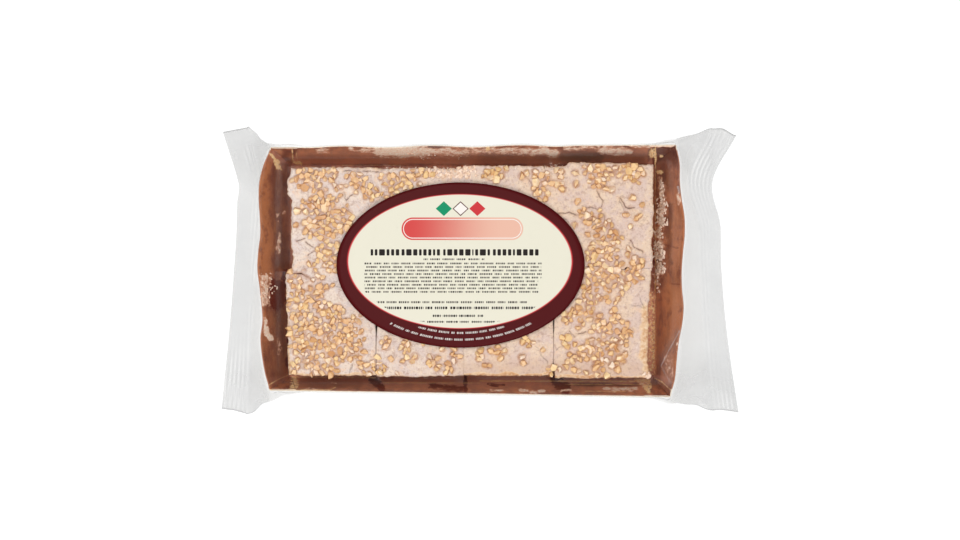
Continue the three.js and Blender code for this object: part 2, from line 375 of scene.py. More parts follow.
def ramp(tree, value, low, high, to_low=0.0, to_high=1.0, smooth=True):
    """Maps a value's range from low to high onto another, from 0 to 1 if none is given."""
    kind = "SMOOTHSTEP" if smooth else "LINEAR"
    sockets = {"Value": value, "From Min": low, "From Max": high, "To Min": to_low, "To Max": to_high}
    return add_node(tree, "ShaderNodeMapRange", sockets, interpolation_type=kind).outputs[0]


def blend(tree, share, below, above):
    """The colour below at a share of 0, and above at 1."""
    made = add_node(tree, "ShaderNodeMix", data_type="RGBA")
    fill_sockets(tree, made, {0: share, 6: below, 7: above})
    return made.outputs[2]


def lay_over(tree, colour, *coats):
    """Lays coats over a colour in turn, each given as its share and its own colour."""
    for share, coat in coats:
        colour = blend(tree, share, colour, coat)
    return colour


def noise(tree, place, scale, detail=3.0, roughness=0.55, distortion=0.0):
    sockets = {"Vector": place, "Scale": scale, "Detail": detail, "Roughness": roughness,
               "Distortion": distortion}
    return add_node(tree, "ShaderNodeTexNoise", sockets).outputs["Fac"]


def attribute(tree, name):
    """The numbers that a mesh carries under this name."""
    return add_node(tree, "ShaderNodeAttribute", attribute_name=name).outputs["Fac"]


def object_place(tree):
    return add_node(tree, "ShaderNodeTexCoord").outputs["Object"]


def facing_up(tree, normal):
    """The upward part of a surface's Normal or True Normal."""
    return split(tree, add_node(tree, "ShaderNodeNewGeometry").outputs[normal])["Z"]


def bump(tree, height, distance, strength=1.0):
    """A normal that makes a height look raised."""
    sockets = {"Height": height, "Distance": distance, "Strength": strength}
    return add_node(tree, "ShaderNodeBump", sockets).outputs["Normal"]


def srgb(red, green, blue):
    """Linear colour from the usual 0 to 255 numbers."""
    parts = [c / 255 for c in (red, green, blue)]
    return tuple(c / 12.92 if c <= 0.04045 else ((c + 0.055) / 1.055) ** 2.4 for c in parts) + (1.0,)


def new_material(name, **numbers):
    """A material with one Principled shader, and the numbers that are the same all over it."""
    material = bpy.data.materials.new(name)
    material.use_nodes = True
    shader = material.node_tree.nodes["Principled BSDF"]
    for socket, value in numbers.items():
        shader.inputs[socket.replace("_", " ").title().replace("Ior", "IOR")].default_value = value
    return material, material.node_tree, shader


def finish(tree, shader, colour, relief=None, **others):
    """Joins a colour, a relief and other values to the shader."""
    tree.links.new(colour, shader.inputs["Base Color"])
    if relief:
        tree.links.new(relief, shader.inputs["Normal"])
    for socket, source in others.items():
        tree.links.new(source, shader.inputs[socket.replace("_", " ").title()])


def new_group(name, inputs, outputs):
    """A node group with named inputs and outputs: its tree, what it is given and what it gives."""
    group = bpy.data.node_groups.new(name, "ShaderNodeTree")
    kinds = {"number": "NodeSocketFloat", "vector": "NodeSocketVector"}
    for label, kind, value in inputs:
        socket = group.interface.new_socket(label, in_out="INPUT", socket_type=kinds[kind])
        if value is not None:
            socket.default_value = value
    for label in outputs:
        group.interface.new_socket(label, in_out="OUTPUT", socket_type="NodeSocketFloat")
    entry = group.nodes.new("NodeGroupInput")
    leave = group.nodes.new("NodeGroupOutput")
    return group, entry.outputs, leave.inputs


def use_group(tree, group, **sockets):
    """Places a node group; a socket's name has _ where the group's own has a space."""
    made = add_node(tree, "ShaderNodeGroup", node_tree=group)
    fill_sockets(tree, made, {name.replace("_", " "): value for name, value in sockets.items()})
    return made.outputs


def patches_group():
    """Breaks a painted amount into patches with ragged edges, and a finer speckle inside them."""
    group, given, out = new_group(
        "Ragged patches",
        [("Place", "vector", None), ("Amount", "number", 0.5), ("Scale", "number", 400.0),
         ("Raggedness", "number", 0.5)],
        ["Mask", "Core", "Speckle"],
    )
    rough = noise(group, given["Place"], given["Scale"], detail=5.0, roughness=0.7)
    swing = calc(group, "MULTIPLY", calc(group, "SUBTRACT", rough, 0.5), given["Raggedness"])
    level = calc(group, "ADD", given["Amount"], swing)
    group.links.new(ramp(group, level, 0.36, 0.64), out["Mask"])
    group.links.new(ramp(group, level, 0.56, 0.86), out["Core"])
    fine = noise(group, given["Place"], calc(group, "MULTIPLY", given["Scale"], 3.0), detail=2.0)
    group.links.new(ramp(group, fine, 0.3, 0.7), out["Speckle"])
    return group


def crease_group():
    """A straight mark seen from above, with a ragged edge."""
    group, given, out = new_group(
        "Crease mark",
        [("Place", "vector", None), ("Start", "vector", None), ("Stop", "vector", None),
         ("Half width", "number", 0.0005)],
        ["Mask"],
    )
    flat = calc_vector(group, "MULTIPLY", given["Place"], (1.0, 1.0, 0.0))
    reach = calc_vector(group, "SUBTRACT", flat, given["Start"])
    run = calc_vector(group, "SUBTRACT", given["Stop"], given["Start"])
    share = calc(group, "DIVIDE", calc_vector(group, "DOT_PRODUCT", reach, run, out="Value"),
                 calc_vector(group, "DOT_PRODUCT", run, run, out="Value"), clamp=True)
    nearest = scale_vector(group, run, share)
    away = calc_vector(group, "LENGTH", calc_vector(group, "SUBTRACT", reach, nearest), out="Value")
    wander = calc(group, "SUBTRACT", noise(group, given["Place"], 260.0, detail=4.0), 0.5)
    swing = calc(group, "MULTIPLY", wander, calc(group, "MULTIPLY", given["Half width"], 2.2))
    away = calc(group, "ADD", away, swing)
    core = calc(group, "MULTIPLY", given["Half width"], 0.5)
    edge = calc(group, "MULTIPLY", given["Half width"], 1.2)
    group.links.new(ramp(group, away, core, edge, 1.0, 0.0), out["Mask"])
    return group


def gapped(group, along, length, shift, gap):
    """1 on stretches of uneven length along a line, and 0 in the gaps between them."""
    turn = calc(group, "ADD", calc(group, "DIVIDE", along, length), shift)
    edge = add_node(group, "ShaderNodeTexVoronoi", {"W": turn, "Scale": 1.0}, voronoi_dimensions="1D",
                    feature="DISTANCE_TO_EDGE").outputs["Distance"]
    half = calc(group, "DIVIDE", gap, calc(group, "MULTIPLY", length, 2.0))
    return ramp(group, edge, calc(group, "MULTIPLY", half, 0.4), calc(group, "MULTIPLY", half, 2.4))


def bars_group():
    """Rows of bars cut into stretches and short blocks, placed in millimetres."""
    group, given, out = new_group(
        "Printed bars",
        [("Place", "vector", None), ("Left", "number", -30.0), ("Right", "number", 30.0),
         ("Top", "number", 0.0), ("Pitch", "number", 2.0), ("Rows", "number", 1.0),
         ("Thickness", "number", 0.5), ("Length", "number", 6.0), ("Block", "number", 1.0),
         ("Seed", "number", 0.0)],
        ["Mask"],
    )
    along, up, _ = split(group, given["Place"])
    down = calc(group, "DIVIDE", calc(group, "SUBTRACT", given["Top"], up), given["Pitch"])
    row = calc(group, "FLOOR", down)
    from_row_middle = calc(group, "ABSOLUTE", calc(group, "SUBTRACT", calc(group, "FRACT", down), 0.5))
    half = calc(group, "MULTIPLY", given["Thickness"], 0.5)
    band = ramp(group, calc(group, "SUBTRACT", half, from_row_middle), -0.03, 0.12)
    shift = calc(group, "ADD", calc(group, "MULTIPLY", row, 17.37), given["Seed"])
    stretches = gapped(group, along, given["Length"], shift, 0.9)
    blocks = gapped(group, along, given["Block"], shift, calc(group, "MULTIPLY", given["Block"], 0.26))
    shape = calc(group, "MULTIPLY", band, calc(group, "MULTIPLY", stretches, blocks))
    mask = ramp(group, shape, 0.2, 0.5)
    limits = (
        calc(group, "COMPARE", calc(group, "DIVIDE", down, given["Rows"]), 0.5, 0.5),
        calc(group, "LESS_THAN", down, given["Rows"]),
        calc(group, "GREATER_THAN", along, given["Left"]),
        calc(group, "LESS_THAN", along, given["Right"]),
    )
    for inside in limits:
        mask = calc(group, "MULTIPLY", mask, inside)
    group.links.new(mask, out["Mask"])
    return group


PATCHES = patches_group()
CREASE = crease_group()
BARS = bars_group()


def patches(tree, place, name, scale, raggedness):
    """The ragged patches of the amount that a mesh carries under this name."""
    return use_group(tree, PATCHES, Place=place, Amount=attribute(tree, name), Scale=scale,
                     Raggedness=raggedness)


def crease_marks(tree, place, marks):
    """The strongest of several crease marks, each given as x, y, x, y, half width and strength."""
    total = None
    for x0, y0, x1, y1, half, strength in marks:
        start, stop = (x0 * MM, y0 * MM, 0), (x1 * MM, y1 * MM, 0)
        mask = use_group(tree, CREASE, Place=place, Start=start, Stop=stop, Half_width=half * MM)["Mask"]
        mask = calc(tree, "MULTIPLY", mask, strength)
        total = mask if total is None else calc(tree, "MAXIMUM", total, mask)
    return total


def patchy_creases(tree, place, marks):
    """Crease marks that have worn through in places."""
    wear = ramp(tree, noise(tree, place, 330.0, detail=5.0, roughness=0.7), 0.4, 0.56, 0.3, 1.0)
    return calc(tree, "MULTIPLY", crease_marks(tree, place, marks), wear)


# Finishes.

def sugar_material():
    """Icing sugar crust: cream to faintly mauve, with brown cracks, bare baked pastry at edges, and painted
    shade.
    """
    material, tree, shader = new_material("icing_sugar_crust", roughness=0.85, specular_ior_level=0.2)
    place = object_place(tree)
    along, across, _ = split(tree, place)
    lumps = noise(tree, place, 380.0)
    grains = noise(tree, place, 1300.0, detail=4.0, roughness=0.7)
    height = calc(tree, "ADD", calc(tree, "MULTIPLY", lumps, 0.6), calc(tree, "MULTIPLY", grains, 0.4))
    wide = noise(tree, place, 105.0, detail=4.0, roughness=0.65)
    warm = noise(tree, place, 190.0, detail=5.0, roughness=0.7)
    fine = noise(tree, place, 620.0, detail=4.0, roughness=0.75)
    rightwards = ramp(tree, along, -0.1, 0.06)
    cream = blend(tree, rightwards, srgb(230, 212, 197), srgb(228, 202, 178))
    mauve = blend(tree, rightwards, srgb(219, 202, 194), srgb(218, 193, 180))
    front_edge = ramp(tree, across, -0.056, -0.046, 0.5, 0.0)
    front_edge = calc(tree, "MULTIPLY", front_edge, ramp(tree, along, -0.03, 0.0))
    bare = patches(tree, place, "bare", 200.0, 0.9)
    thin_sugar = calc(tree, "MULTIPLY", bare["Mask"], 0.75)
    pastry = blend(tree, bare["Speckle"], srgb(240, 212, 172), srgb(222, 178, 132))
    baked = calc(tree, "MULTIPLY", bare["Core"], ramp(tree, fine, 0.42, 0.56, 0.35, 1.0))
    colour = blend(tree, ramp(tree, wide, 0.42, 0.58), cream, mauve)
    colour = lay_over(
        tree, colour,
        (ramp(tree, warm, 0.52, 0.66, 0.0, 0.7), srgb(229, 193, 164)),
        (ramp(tree, fine, 0.54, 0.66, 0.0, 0.65), srgb(190, 158, 142)),
        (ramp(tree, fine, 0.3, 0.42, 0.6, 0.0), srgb(247, 234, 224)),
        (front_edge, srgb(204, 170, 146)),
        # painted shade in the hollows of the crust's relief
        (ramp(tree, height, 0.37, 0.48, 0.6, 0.0), srgb(180, 146, 130)),
        (thin_sugar, pastry),
        (baked, srgb(194, 138, 92)),
        # painted shade round nuts, between crowded nuts, in the gaping cut and beside cracks
        (attribute(tree, "shaded"), srgb(166, 108, 66)),
        # brown cracks, and painted shade along the cuts between portions
        (attribute(tree, "crack"), srgb(88, 60, 54)),
    )
    finish(tree, shader, colour, bump(tree, height, 0.8 * MM))
    return material


def nut_material():
    """Toasted nuts: pale tops, painted shade on their sides and low down, and icing sugar on top."""
    material, tree, shader = new_material("toasted_nut", roughness=0.45)
    place = object_place(tree)
    tint = attribute(tree, "tint")
    grain = noise(tree, place, 700.0, detail=4.0)
    wide = noise(tree, place, 75.0, detail=2.0)
    dust = patches(tree, place, "dust", 450.0, 0.9)
    pale, golden, deep = srgb(248, 220, 176), srgb(236, 192, 140), srgb(212, 158, 106)
    colour = blend(tree, ramp(tree, tint, 0.0, 0.5), pale, golden)
    colour = lay_over(
        tree, colour,
        (ramp(tree, tint, 0.5, 1.0), deep),
        (ramp(tree, grain, 0.4, 0.7, 0.0, 0.35), srgb(198, 142, 96)),
        (ramp(tree, wide, 0.5, 0.62, 0.0, 0.35), srgb(236, 206, 136)),
        (calc(tree, "MULTIPLY", dust["Mask"], 0.8), srgb(240, 220, 202)),
        # painted shade on faces that turn away from up
        (ramp(tree, facing_up(tree, "Normal"), 0.3, 0.92, 0.85, 0.0), srgb(200, 142, 88)),
        # painted shade, darker low down on each nut
        (attribute(tree, "low"), srgb(156, 100, 62)),
    )
    finish(tree, shader, colour, bump(tree, grain, 0.2 * MM, 0.5))
    return material


def flake_material():
    """Loose crumbs of sugared pastry."""
    material, tree, shader = new_material("sugared_crumb", roughness=0.85)
    grain = noise(tree, object_place(tree), 900.0, detail=4.0)
    colour = blend(tree, attribute(tree, "tint"), srgb(255, 232, 212), srgb(226, 190, 158))
    colour = lay_over(
        tree, colour,
        (ramp(tree, grain, 0.5, 0.7, 0.0, 0.2), srgb(206, 152, 120)),
        # painted shade, darker low down on each crumb
        (calc(tree, "MULTIPLY", attribute(tree, "low"), 0.75), srgb(176, 116, 86)),
    )
    finish(tree, shader, colour, bump(tree, grain, 0.2 * MM))
    return material


def squashed(tree, place, scale):
    """Places scaled unevenly, so that a pattern on them is drawn out."""
    return add_node(tree, "ShaderNodeMapping", {"Vector": place, "Scale": scale}).outputs[0]


def layer_material(name, light, dark, scale, squash, depth, roughness):
    """Baked leaves or cream in the side of the cake, banded up the stack where it is squashed."""
    material, tree, shader = new_material(name, roughness=roughness)
    flat = squashed(tree, object_place(tree), (1.0, 1.0, squash))
    swirl = noise(tree, flat, scale, detail=4.0, distortion=0.3)
    colour = blend(tree, ramp(tree, swirl, 0.35, 0.65), light, dark)
    finish(tree, shader, colour, bump(tree, swirl, depth))
    return material


def layer_materials():
    """The finishes of the pastry, the custard and the cocoa cream, in that order."""
    return (
        layer_material("baked_leaves", srgb(236, 202, 146), srgb(186, 126, 70), 240.0, 7.0, 0.5 * MM, 0.75),
        layer_material("custard", srgb(250, 232, 178), srgb(240, 212, 150), 160.0, 1.0, 0.3 * MM, 0.4),
        layer_material("cocoa_cream", srgb(112, 66, 44), srgb(74, 40, 26), 160.0, 1.0, 0.3 * MM, 0.4),
    )


# Worn folds that show the board's core, and dark folds: x, y, x, y, half width, strength.
GILT_CREASES = (
    (99.6, 69.6, 101.8, 60.4, 0.35, 1.0), (101.9, 60.4, 101.9, -12, 0.32, 1.0),
    (101.9, -12, 101.7, -62.4, 0.22, 0.6), (101.2, -63, 104.5, -64.6, 0.4, 1.0),
    (104.5, -64.6, 110.2, -70.4, 0.3, 0.7), (-121.5, -66.5, -114.8, -62.6, 0.35, 0.75),
    (-114.8, -62.6, -111.5, -61.4, 0.3, 0.7), (-119.6, 66, -117.2, 62.6, 0.35, 0.8),
    (-117.2, 62.6, -114.3, 57.4, 0.6, 1.0), (-106.8, 67.8, -107.8, 63, 0.45, 1.0),
    (-105, 66.5, -105.4, 62.5, 0.25, 0.7), (-119, 69.3, -84, 69.6, 0.2, 0.8),
    (-80, 60.6, -46, 60.6, 0.22, 0.7), (-108.9, -62.7, -60.8, -62.8, 0.4, 1.0),
    (-55.7, -65.2, 0, -65.4, 0.25, 0.6), (-119.5, -68.4, -85.5, -68.6, 0.4, 1.0),
    (-85.5, -68.6, -82.5, -67.2, 0.3, 0.8), (0, -64.4, 98, -64.7, 0.42, 1.0),
    (49, -66.1, 98, -66.2, 0.25, 0.7), (60, -69.4, 83, -69.6, 0.22, 0.6), (-62, -69.8, -20, -70.3, 0.18, 0.4),
)
DARK_CREASES = (
    (100.4, 66, 100.6, -62, 0.4, 0.6), (105.4, 14.6, 112.6, 12.2, 0.6, 0.55),
    (109.6, -8.2, 113.8, -8.6, 0.5, 0.6), (46, -66.2, 96, -66.4, 0.2, 0.7),
    (-74, 69.9, -40, 69.7, 0.35, 0.4), (-81, 60.0, -46, 60.0, 0.2, 0.6),
)


def tray_inside_material():
    """Glossy brown board: faint streaks, worn folds, sugar and cocoa rubbed on it, and painted light and
    shade.
    """
    material, tree, shader = new_material("brown_board", coat_roughness=0.12, specular_ior_level=0.3)
    place = object_place(tree)
    streaks = noise(tree, squashed(tree, place, (4.0, 1.0, 2.0)), 42.0, detail=5.0, roughness=0.6)
    mottle = noise(tree, place, 130.0, detail=5.0, roughness=0.65)
    speck = noise(tree, place, 900.0, detail=2.0)
    cocoa = patches(tree, place, "cocoa", 300.0, 1.9)
    sugar = patches(tree, place, "smear", 330.0, 2.0)
    worn = patches(tree, place, "wear", 600.0, 1.8)
    dark = calc(tree, "MAXIMUM", cocoa["Mask"], patchy_creases(tree, place, DARK_CREASES))
    bare = calc(tree, "MAXIMUM", worn["Mask"], patchy_creases(tree, place, GILT_CREASES))
    chalk = blend(tree, sugar["Speckle"], srgb(255, 240, 222), srgb(242, 200, 170))
    core_board = blend(tree, worn["Speckle"], srgb(255, 232, 184), srgb(250, 190, 116))
    colour = blend(tree, ramp(tree, streaks, 0.38, 0.62), srgb(134, 76, 56), srgb(188, 114, 76))
    colour = lay_over(
        tree, colour,
        # painted light, high on the short walls
        (attribute(tree, "light"), srgb(188, 116, 72)),
        (ramp(tree, mottle, 0.5, 0.66, 0.0, 0.6), srgb(110, 54, 44)),
        (ramp(tree, mottle, 0.34, 0.46, 0.45, 0.0), srgb(206, 132, 84)),
        # painted light, low on the walls and on the strip by the right wall
        (attribute(tree, "lift"), srgb(226, 152, 124)),
        # painted shade
        (attribute(tree, "shade"), srgb(86, 40, 32)),
        (ramp(tree, speck, 0.6, 0.75, 0.0, 0.4), srgb(206, 158, 128)),
        (calc(tree, "MULTIPLY", dark, 0.92), srgb(104, 16, 0)),
        (calc(tree, "MULTIPLY", sugar["Mask"], 0.75), srgb(236, 178, 146)),
        (sugar["Core"], chalk),
        (bare, core_board),
    )
    dry = calc(tree, "MAXIMUM", sugar["Mask"], bare)
    finish(tree, shader, colour, bump(tree, streaks, 0.25 * MM, 0.4),
           Roughness=ramp(tree, dry, 0.0, 1.0, 0.36, 0.85), Coat_Weight=ramp(tree, dry, 0.0, 1.0, 0.2, 0.0))
    return material


def tray_outside_material():
    """Cream board, browned along the cut rim of the short walls."""
    material, tree, shader = new_material("cream_board", roughness=0.7)
    short_wall_ends = (67.4 * MM, 68.2 * MM)
    place = object_place(tree)
    fibres = noise(tree, place, 500.0, detail=5.0, roughness=0.7)
    across = calc(tree, "ABSOLUTE", split(tree, place)["Y"])
    rim = ramp(tree, facing_up(tree, "True Normal"), 0.3, 0.6)
    short_rim = calc(tree, "MULTIPLY", rim, ramp(tree, across, *short_wall_ends, 1.0, 0.0))
    colour = blend(tree, ramp(tree, fibres, 0.35, 0.65), srgb(242, 232, 214), srgb(226, 210, 186))
    colour = blend(tree, short_rim, colour, srgb(170, 112, 84))
    finish(tree, shader, colour, bump(tree, fibres, 0.1 * MM, 0.4))
    return material


FILM_SHINE_IOR, FILM_MOST_SHINE = 1.18, 0.042
# Straight glints in the film, where it is pulled tight: x, y, x, y, half width, strength.
FILM_GLINTS = (
    (113.2, -34.8, 102.8, -54.6, 0.35, 0.2), (102.8, -54.6, 108.6, -65, 0.35, 0.12),
    (112.4, 47, 113.2, 43.5, 0.9, 0.3), (111.9, -46.2, 112.3, -45, 0.5, 0.45),
)


def film_material():
    """Clear film: nearly unseen where it lies on the tray, and milky where it stands free."""
    material, tree, shader = new_material("clear_film", roughness=0.28, ior=1.5)
    shader.inputs["Base Color"].default_value = (0.5, 0.5, 0.496, 1)
    place = object_place(tree)
    ripples = noise(tree, place, 45.0, detail=2.0)
    relief = bump(tree, ripples, 0.2 * MM, 0.3)
    tree.links.new(relief, shader.inputs["Normal"])
    uneven = ramp(tree, ripples, 0.3, 0.7, 0.94, 1.06, smooth=False)
    # the haze also carries a painted highlight where the film is drawn tight
    veil = calc(tree, "MULTIPLY", attribute(tree, "haze"), uneven)
    veil = calc(tree, "ADD", veil, crease_marks(tree, place, FILM_GLINTS), clamp=True)
    upright = calc(tree, "ABSOLUTE", facing_up(tree, "True Normal"))
    veil = calc(tree, "MULTIPLY", veil, ramp(tree, upright, 0.05, 0.45, 0.25, 1.0))
    clear = add_node(tree, "ShaderNodeBsdfTransparent").outputs[0]
    gloss = add_node(tree, "ShaderNodeBsdfGlossy", {"Roughness": 0.18, "Normal": relief}).outputs[0]
    fresnel = add_node(tree, "ShaderNodeFresnel", {"IOR": FILM_SHINE_IOR}).outputs[0]
    shine = calc(tree, "MINIMUM", fresnel, FILM_MOST_SHINE)
    thin = add_node(tree, "ShaderNodeMixShader", {0: shine, 1: clear, 2: gloss}).outputs[0]
    whole = add_node(tree, "ShaderNodeMixShader", {0: veil, 1: thin, 2: shader.outputs[0]}).outputs[0]
    tree.links.new(whole, tree.nodes["Material Output"].inputs["Surface"])
    return material


def ellipse_reach(tree, x, y, middle, half):
    """0 in the middle of an ellipse and 1 on its edge."""
    across = calc(tree, "DIVIDE", calc(tree, "SUBTRACT", x, middle[0]), half[0])
    up = calc(tree, "DIVIDE", calc(tree, "SUBTRACT", y, middle[1]), half[1])
    return length_of(tree, across, up)


def lozenge(tree, x, y, middle, half):
    """1 inside a lozenge and 0 outside it."""
    across = calc(tree, "DIVIDE", calc(tree, "ABSOLUTE", calc(tree, "SUBTRACT", x, middle[0])), half[0])
    up = calc(tree, "DIVIDE", calc(tree, "ABSOLUTE", calc(tree, "SUBTRACT", y, middle[1])), half[1])
    return calc(tree, "LESS_THAN", calc(tree, "ADD", across, up), 1.0)


def plaque_depth(tree, x, y, middle, half_length, radius):
    """How far inside the edge of a bar with round ends a place lies, in millimetres."""
    across = calc(tree, "ABSOLUTE", calc(tree, "SUBTRACT", x, middle[0]))
    across = calc(tree, "MAXIMUM", calc(tree, "SUBTRACT", across, half_length - radius), 0.0)
    up = calc(tree, "SUBTRACT", y, middle[1])
    return calc(tree, "SUBTRACT", radius, length_of(tree, across, up))


# The label's print, in millimetres from the label's middle.
FIELD_MIDDLE, FIELD_HALF = (-0.4, 2.1), (62.9, 37.6)
PLAQUE_MIDDLE, PLAQUE_HALF_LENGTH, PLAQUE_RADIUS = (1.0, 20.6), 34.5, 6.4
PLAQUE_LINE_DEPTH, PLAQUE_LINE_HALF = 1.1, 0.22
LOZENGE_PITCH, LOZENGE_UP = 9.5, 32.0
LOZENGE_OUTSIDE, LOZENGE_INSIDE = (4.6, 4.2), (3.9, 3.5)
BORDER_HALF, BORDER_RADIUS, BORDER_SQUASH = (70.4, 46.9), 68.0, 1.5
# Rows of bars: left, right, top, pitch, rows, thickness, length, block and seed.
FINE_BARS = (
    (-21, 13.5, 4.4, 2.2, 1, 0.5, 6.5, 0.95, 0.3), (-54.5, 46, 1.9, 2.0, 5, 0.56, 6.2, 0.95, 3.1),
    (-54.5, 44, -8.2, 2.0, 4, 0.56, 6.6, 0.95, 9.7), (-47.5, 37.5, -20.0, 2.1, 1, 0.6, 7.0, 1.05, 14.2),
)
BOLD_BARS = (
    (-51, 45, 10.4, 6.4, 1, 0.62, 24, 3.0, 1.3), (-46.5, 45, -23.0, 2.6, 1, 0.62, 9.5, 1.3, 5.5),
    (-16, 14, -27.6, 2.4, 1, 0.58, 8, 1.2, 2.2), (-24, 25, -31.0, 2.4, 1, 0.5, 7.5, 1.1, 7.4),
)
# Rows of bars that follow the border: the same, along the border and out from its middle.
BORDER_BARS = (
    (-30, 30, -37.2, 2.6, 1, 0.5, 6.5, 1.1, 4.4), (-46, 46, -41.0, 2.6, 1, 0.5, 6.5, 1.1, 8.8),
)


def printed_bars(tree, place, bars):
    """The mask of one block of printed bars."""
    left, right, top, pitch, rows, thick, length, block, seed = bars
    return use_group(tree, BARS, Place=place, Left=left, Right=right, Top=top, Pitch=pitch, Rows=rows,
                     Thickness=thick, Length=length, Block=block, Seed=seed)["Mask"]


def label_material(middle):
    """Printed paper: a wine-red oval border, a cream field, a plaque, three lozenges and bars."""
    material, tree, shader = new_material("printed_label", roughness=0.5, specular_ior_level=0.12)
    place = calc_vector(tree, "SUBTRACT", object_place(tree), (middle[0], middle[1], 0.0))
    place = scale_vector(tree, place, 1 / MM)
    x, y, _ = split(tree, place)
    cream, wine, red = srgb(222, 218, 200), srgb(76, 5, 9), srgb(196, 52, 58)
    green, black, grey, white = srgb(14, 138, 96), srgb(34, 28, 26), srgb(62, 56, 50), srgb(236, 230, 224)
    field = ellipse_reach(tree, x, y, FIELD_MIDDLE, FIELD_HALF)
    depth = plaque_depth(tree, x, y, PLAQUE_MIDDLE, PLAQUE_HALF_LENGTH, PLAQUE_RADIUS)
    paint = blend(tree, ramp(tree, x, -30.0, 26.0), srgb(204, 72, 70), srgb(224, 178, 158))
    colour = lay_over(
        tree, blend(tree, ramp(tree, field, 1.0, 1.012), cream, red),
        (ramp(tree, field, 1.012, 1.024), wine),
        (ramp(tree, depth, -0.1, 0.1), paint),
        (calc(tree, "COMPARE", depth, PLAQUE_LINE_DEPTH, PLAQUE_LINE_HALF), white),
    )
    for step, inside, outline in ((-1, green, green), (0, white, wine), (1, red, red)):
        centre = (step * LOZENGE_PITCH, LOZENGE_UP)
        colour = lay_over(
            tree, colour,
            (lozenge(tree, x, y, centre, LOZENGE_OUTSIDE), outline),
            (lozenge(tree, x, y, centre, LOZENGE_INSIDE), inside),
        )
    on_field = calc(tree, "LESS_THAN", field, 0.97)
    for rows, ink in ((FINE_BARS, grey), (BOLD_BARS, black)):
        for bars in rows:
            mask = printed_bars(tree, place, bars)
            colour = blend(tree, calc(tree, "MULTIPLY", mask, on_field), colour, ink)

    on_border = calc(tree, "GREATER_THAN", field, 1.05)
    out = calc(tree, "MULTIPLY", ellipse_reach(tree, x, y, (0.0, 0.0), BORDER_HALF), -BORDER_HALF[1])
    turn = calc(tree, "ARCTAN2", x, calc(tree, "MULTIPLY", y, -BORDER_SQUASH))
    round_border = {0: calc(tree, "MULTIPLY", turn, BORDER_RADIUS), 1: out}
    border_place = add_node(tree, "ShaderNodeCombineXYZ", round_border).outputs[0]
    for bars in BORDER_BARS:
        mask = calc(tree, "MULTIPLY", printed_bars(tree, border_place, bars), on_border)
        colour = blend(tree, calc(tree, "MULTIPLY", mask, 0.65), colour, white)
    finish(tree, shader, colour)
    return material


# The tray.

def smooth_line(values, share):
    """A smooth line through evenly spaced values, for shares from 0 to 1 of its length."""
    values = np.array(values)
    last = len(values) - 1
    at = np.clip(share, 0, 1) * last
    i = np.minimum(at.astype(int), last - 1)
    t = at - i
    before, start, stop, after = (values[np.clip(i + k, 0, last)] for k in (-1, 0, 1, 2))
    ends = start * (1 + 2 * t) * (1 - t) ** 2 + stop * t * t * (3 - 2 * t)
    return ends + (stop - before) / 2 * t * (1 - t) ** 2 - (after - start) / 2 * t * t * (1 - t)


def rim_x(end, across):
    """A short wall's inside rim, for an end of -1 or 1 and a place from -1 (front) to 1 (back)."""
    share = (np.asarray(across, dtype=float) + 1) / 2
    left, right = smooth_line(LEFT_RIM, share), smooth_line(RIGHT_RIM, share)
    return np.where(np.asarray(end) > 0, right, left) * MM


def rim_y(back, x):
    """The long walls' rims, which run a little askew; the back one waves as well."""
    along = x - TRAY_X
    wave = BACK_RIPPLE * np.cos(2 * math.pi * (x - BACK_RIPPLE_PHASE) / BACK_RIPPLE_PITCH)
    wave = wave * soft_step(RIM_HALF_LENGTH - np.abs(along), 8 * MM, 30 * MM) * fade_out(x, 40 * MM, 58 * MM)
    return np.where(back, RIM_BACK + BACK_TAPER * along + wave, RIM_FRONT - FRONT_TAPER * along)


def between(low, high, place):
    """From low at a place of -1 to high at a place of 1."""
    return low + (high - low) * (place + 1) / 2


SQUARE_CORNERS = np.array([[-1, -1], [1, -1], [1, 1], [-1, 1]])


def square_place(turn):
    """A place on the outline of a square from -1 to 1, for a turn from 0 to 4 round its sides."""
    side = np.clip(np.floor(turn), 0, 3).astype(int)
    start, stop = SQUARE_CORNERS[side].T, SQUARE_CORNERS[(side + 1) % 4].T
    return start + (stop - start) * (turn - side)


def tray_point(turn, rise):
    """Inside face of the tray, for a turn round its sides and a rise from its base to its rim.

    A rise below 0 leads inwards over the base.
    """
    sx, sy = square_place(turn)
    low_x, low_y = TRAY_X + sx * BASE_HALF_LENGTH, TRAY_Y + sy * BASE_HALF_WIDTH
    high_x = between(rim_x(-1, sy), rim_x(1, sy), sx)
    high_y = between(rim_y(False, high_x), rim_y(True, high_x), sy)
    up = np.clip(rise, 0, 1)
    inwards = np.minimum(rise, 0)
    x = low_x + (high_x - low_x) * up ** WALL_CURVE + (low_x - TRAY_X) * inwards
    y = low_y + (high_y - low_y) * up + (low_y - TRAY_Y) * inwards
    return stack(x, y, FLOOR_Z + (RIM_Z - FLOOR_Z) * up)


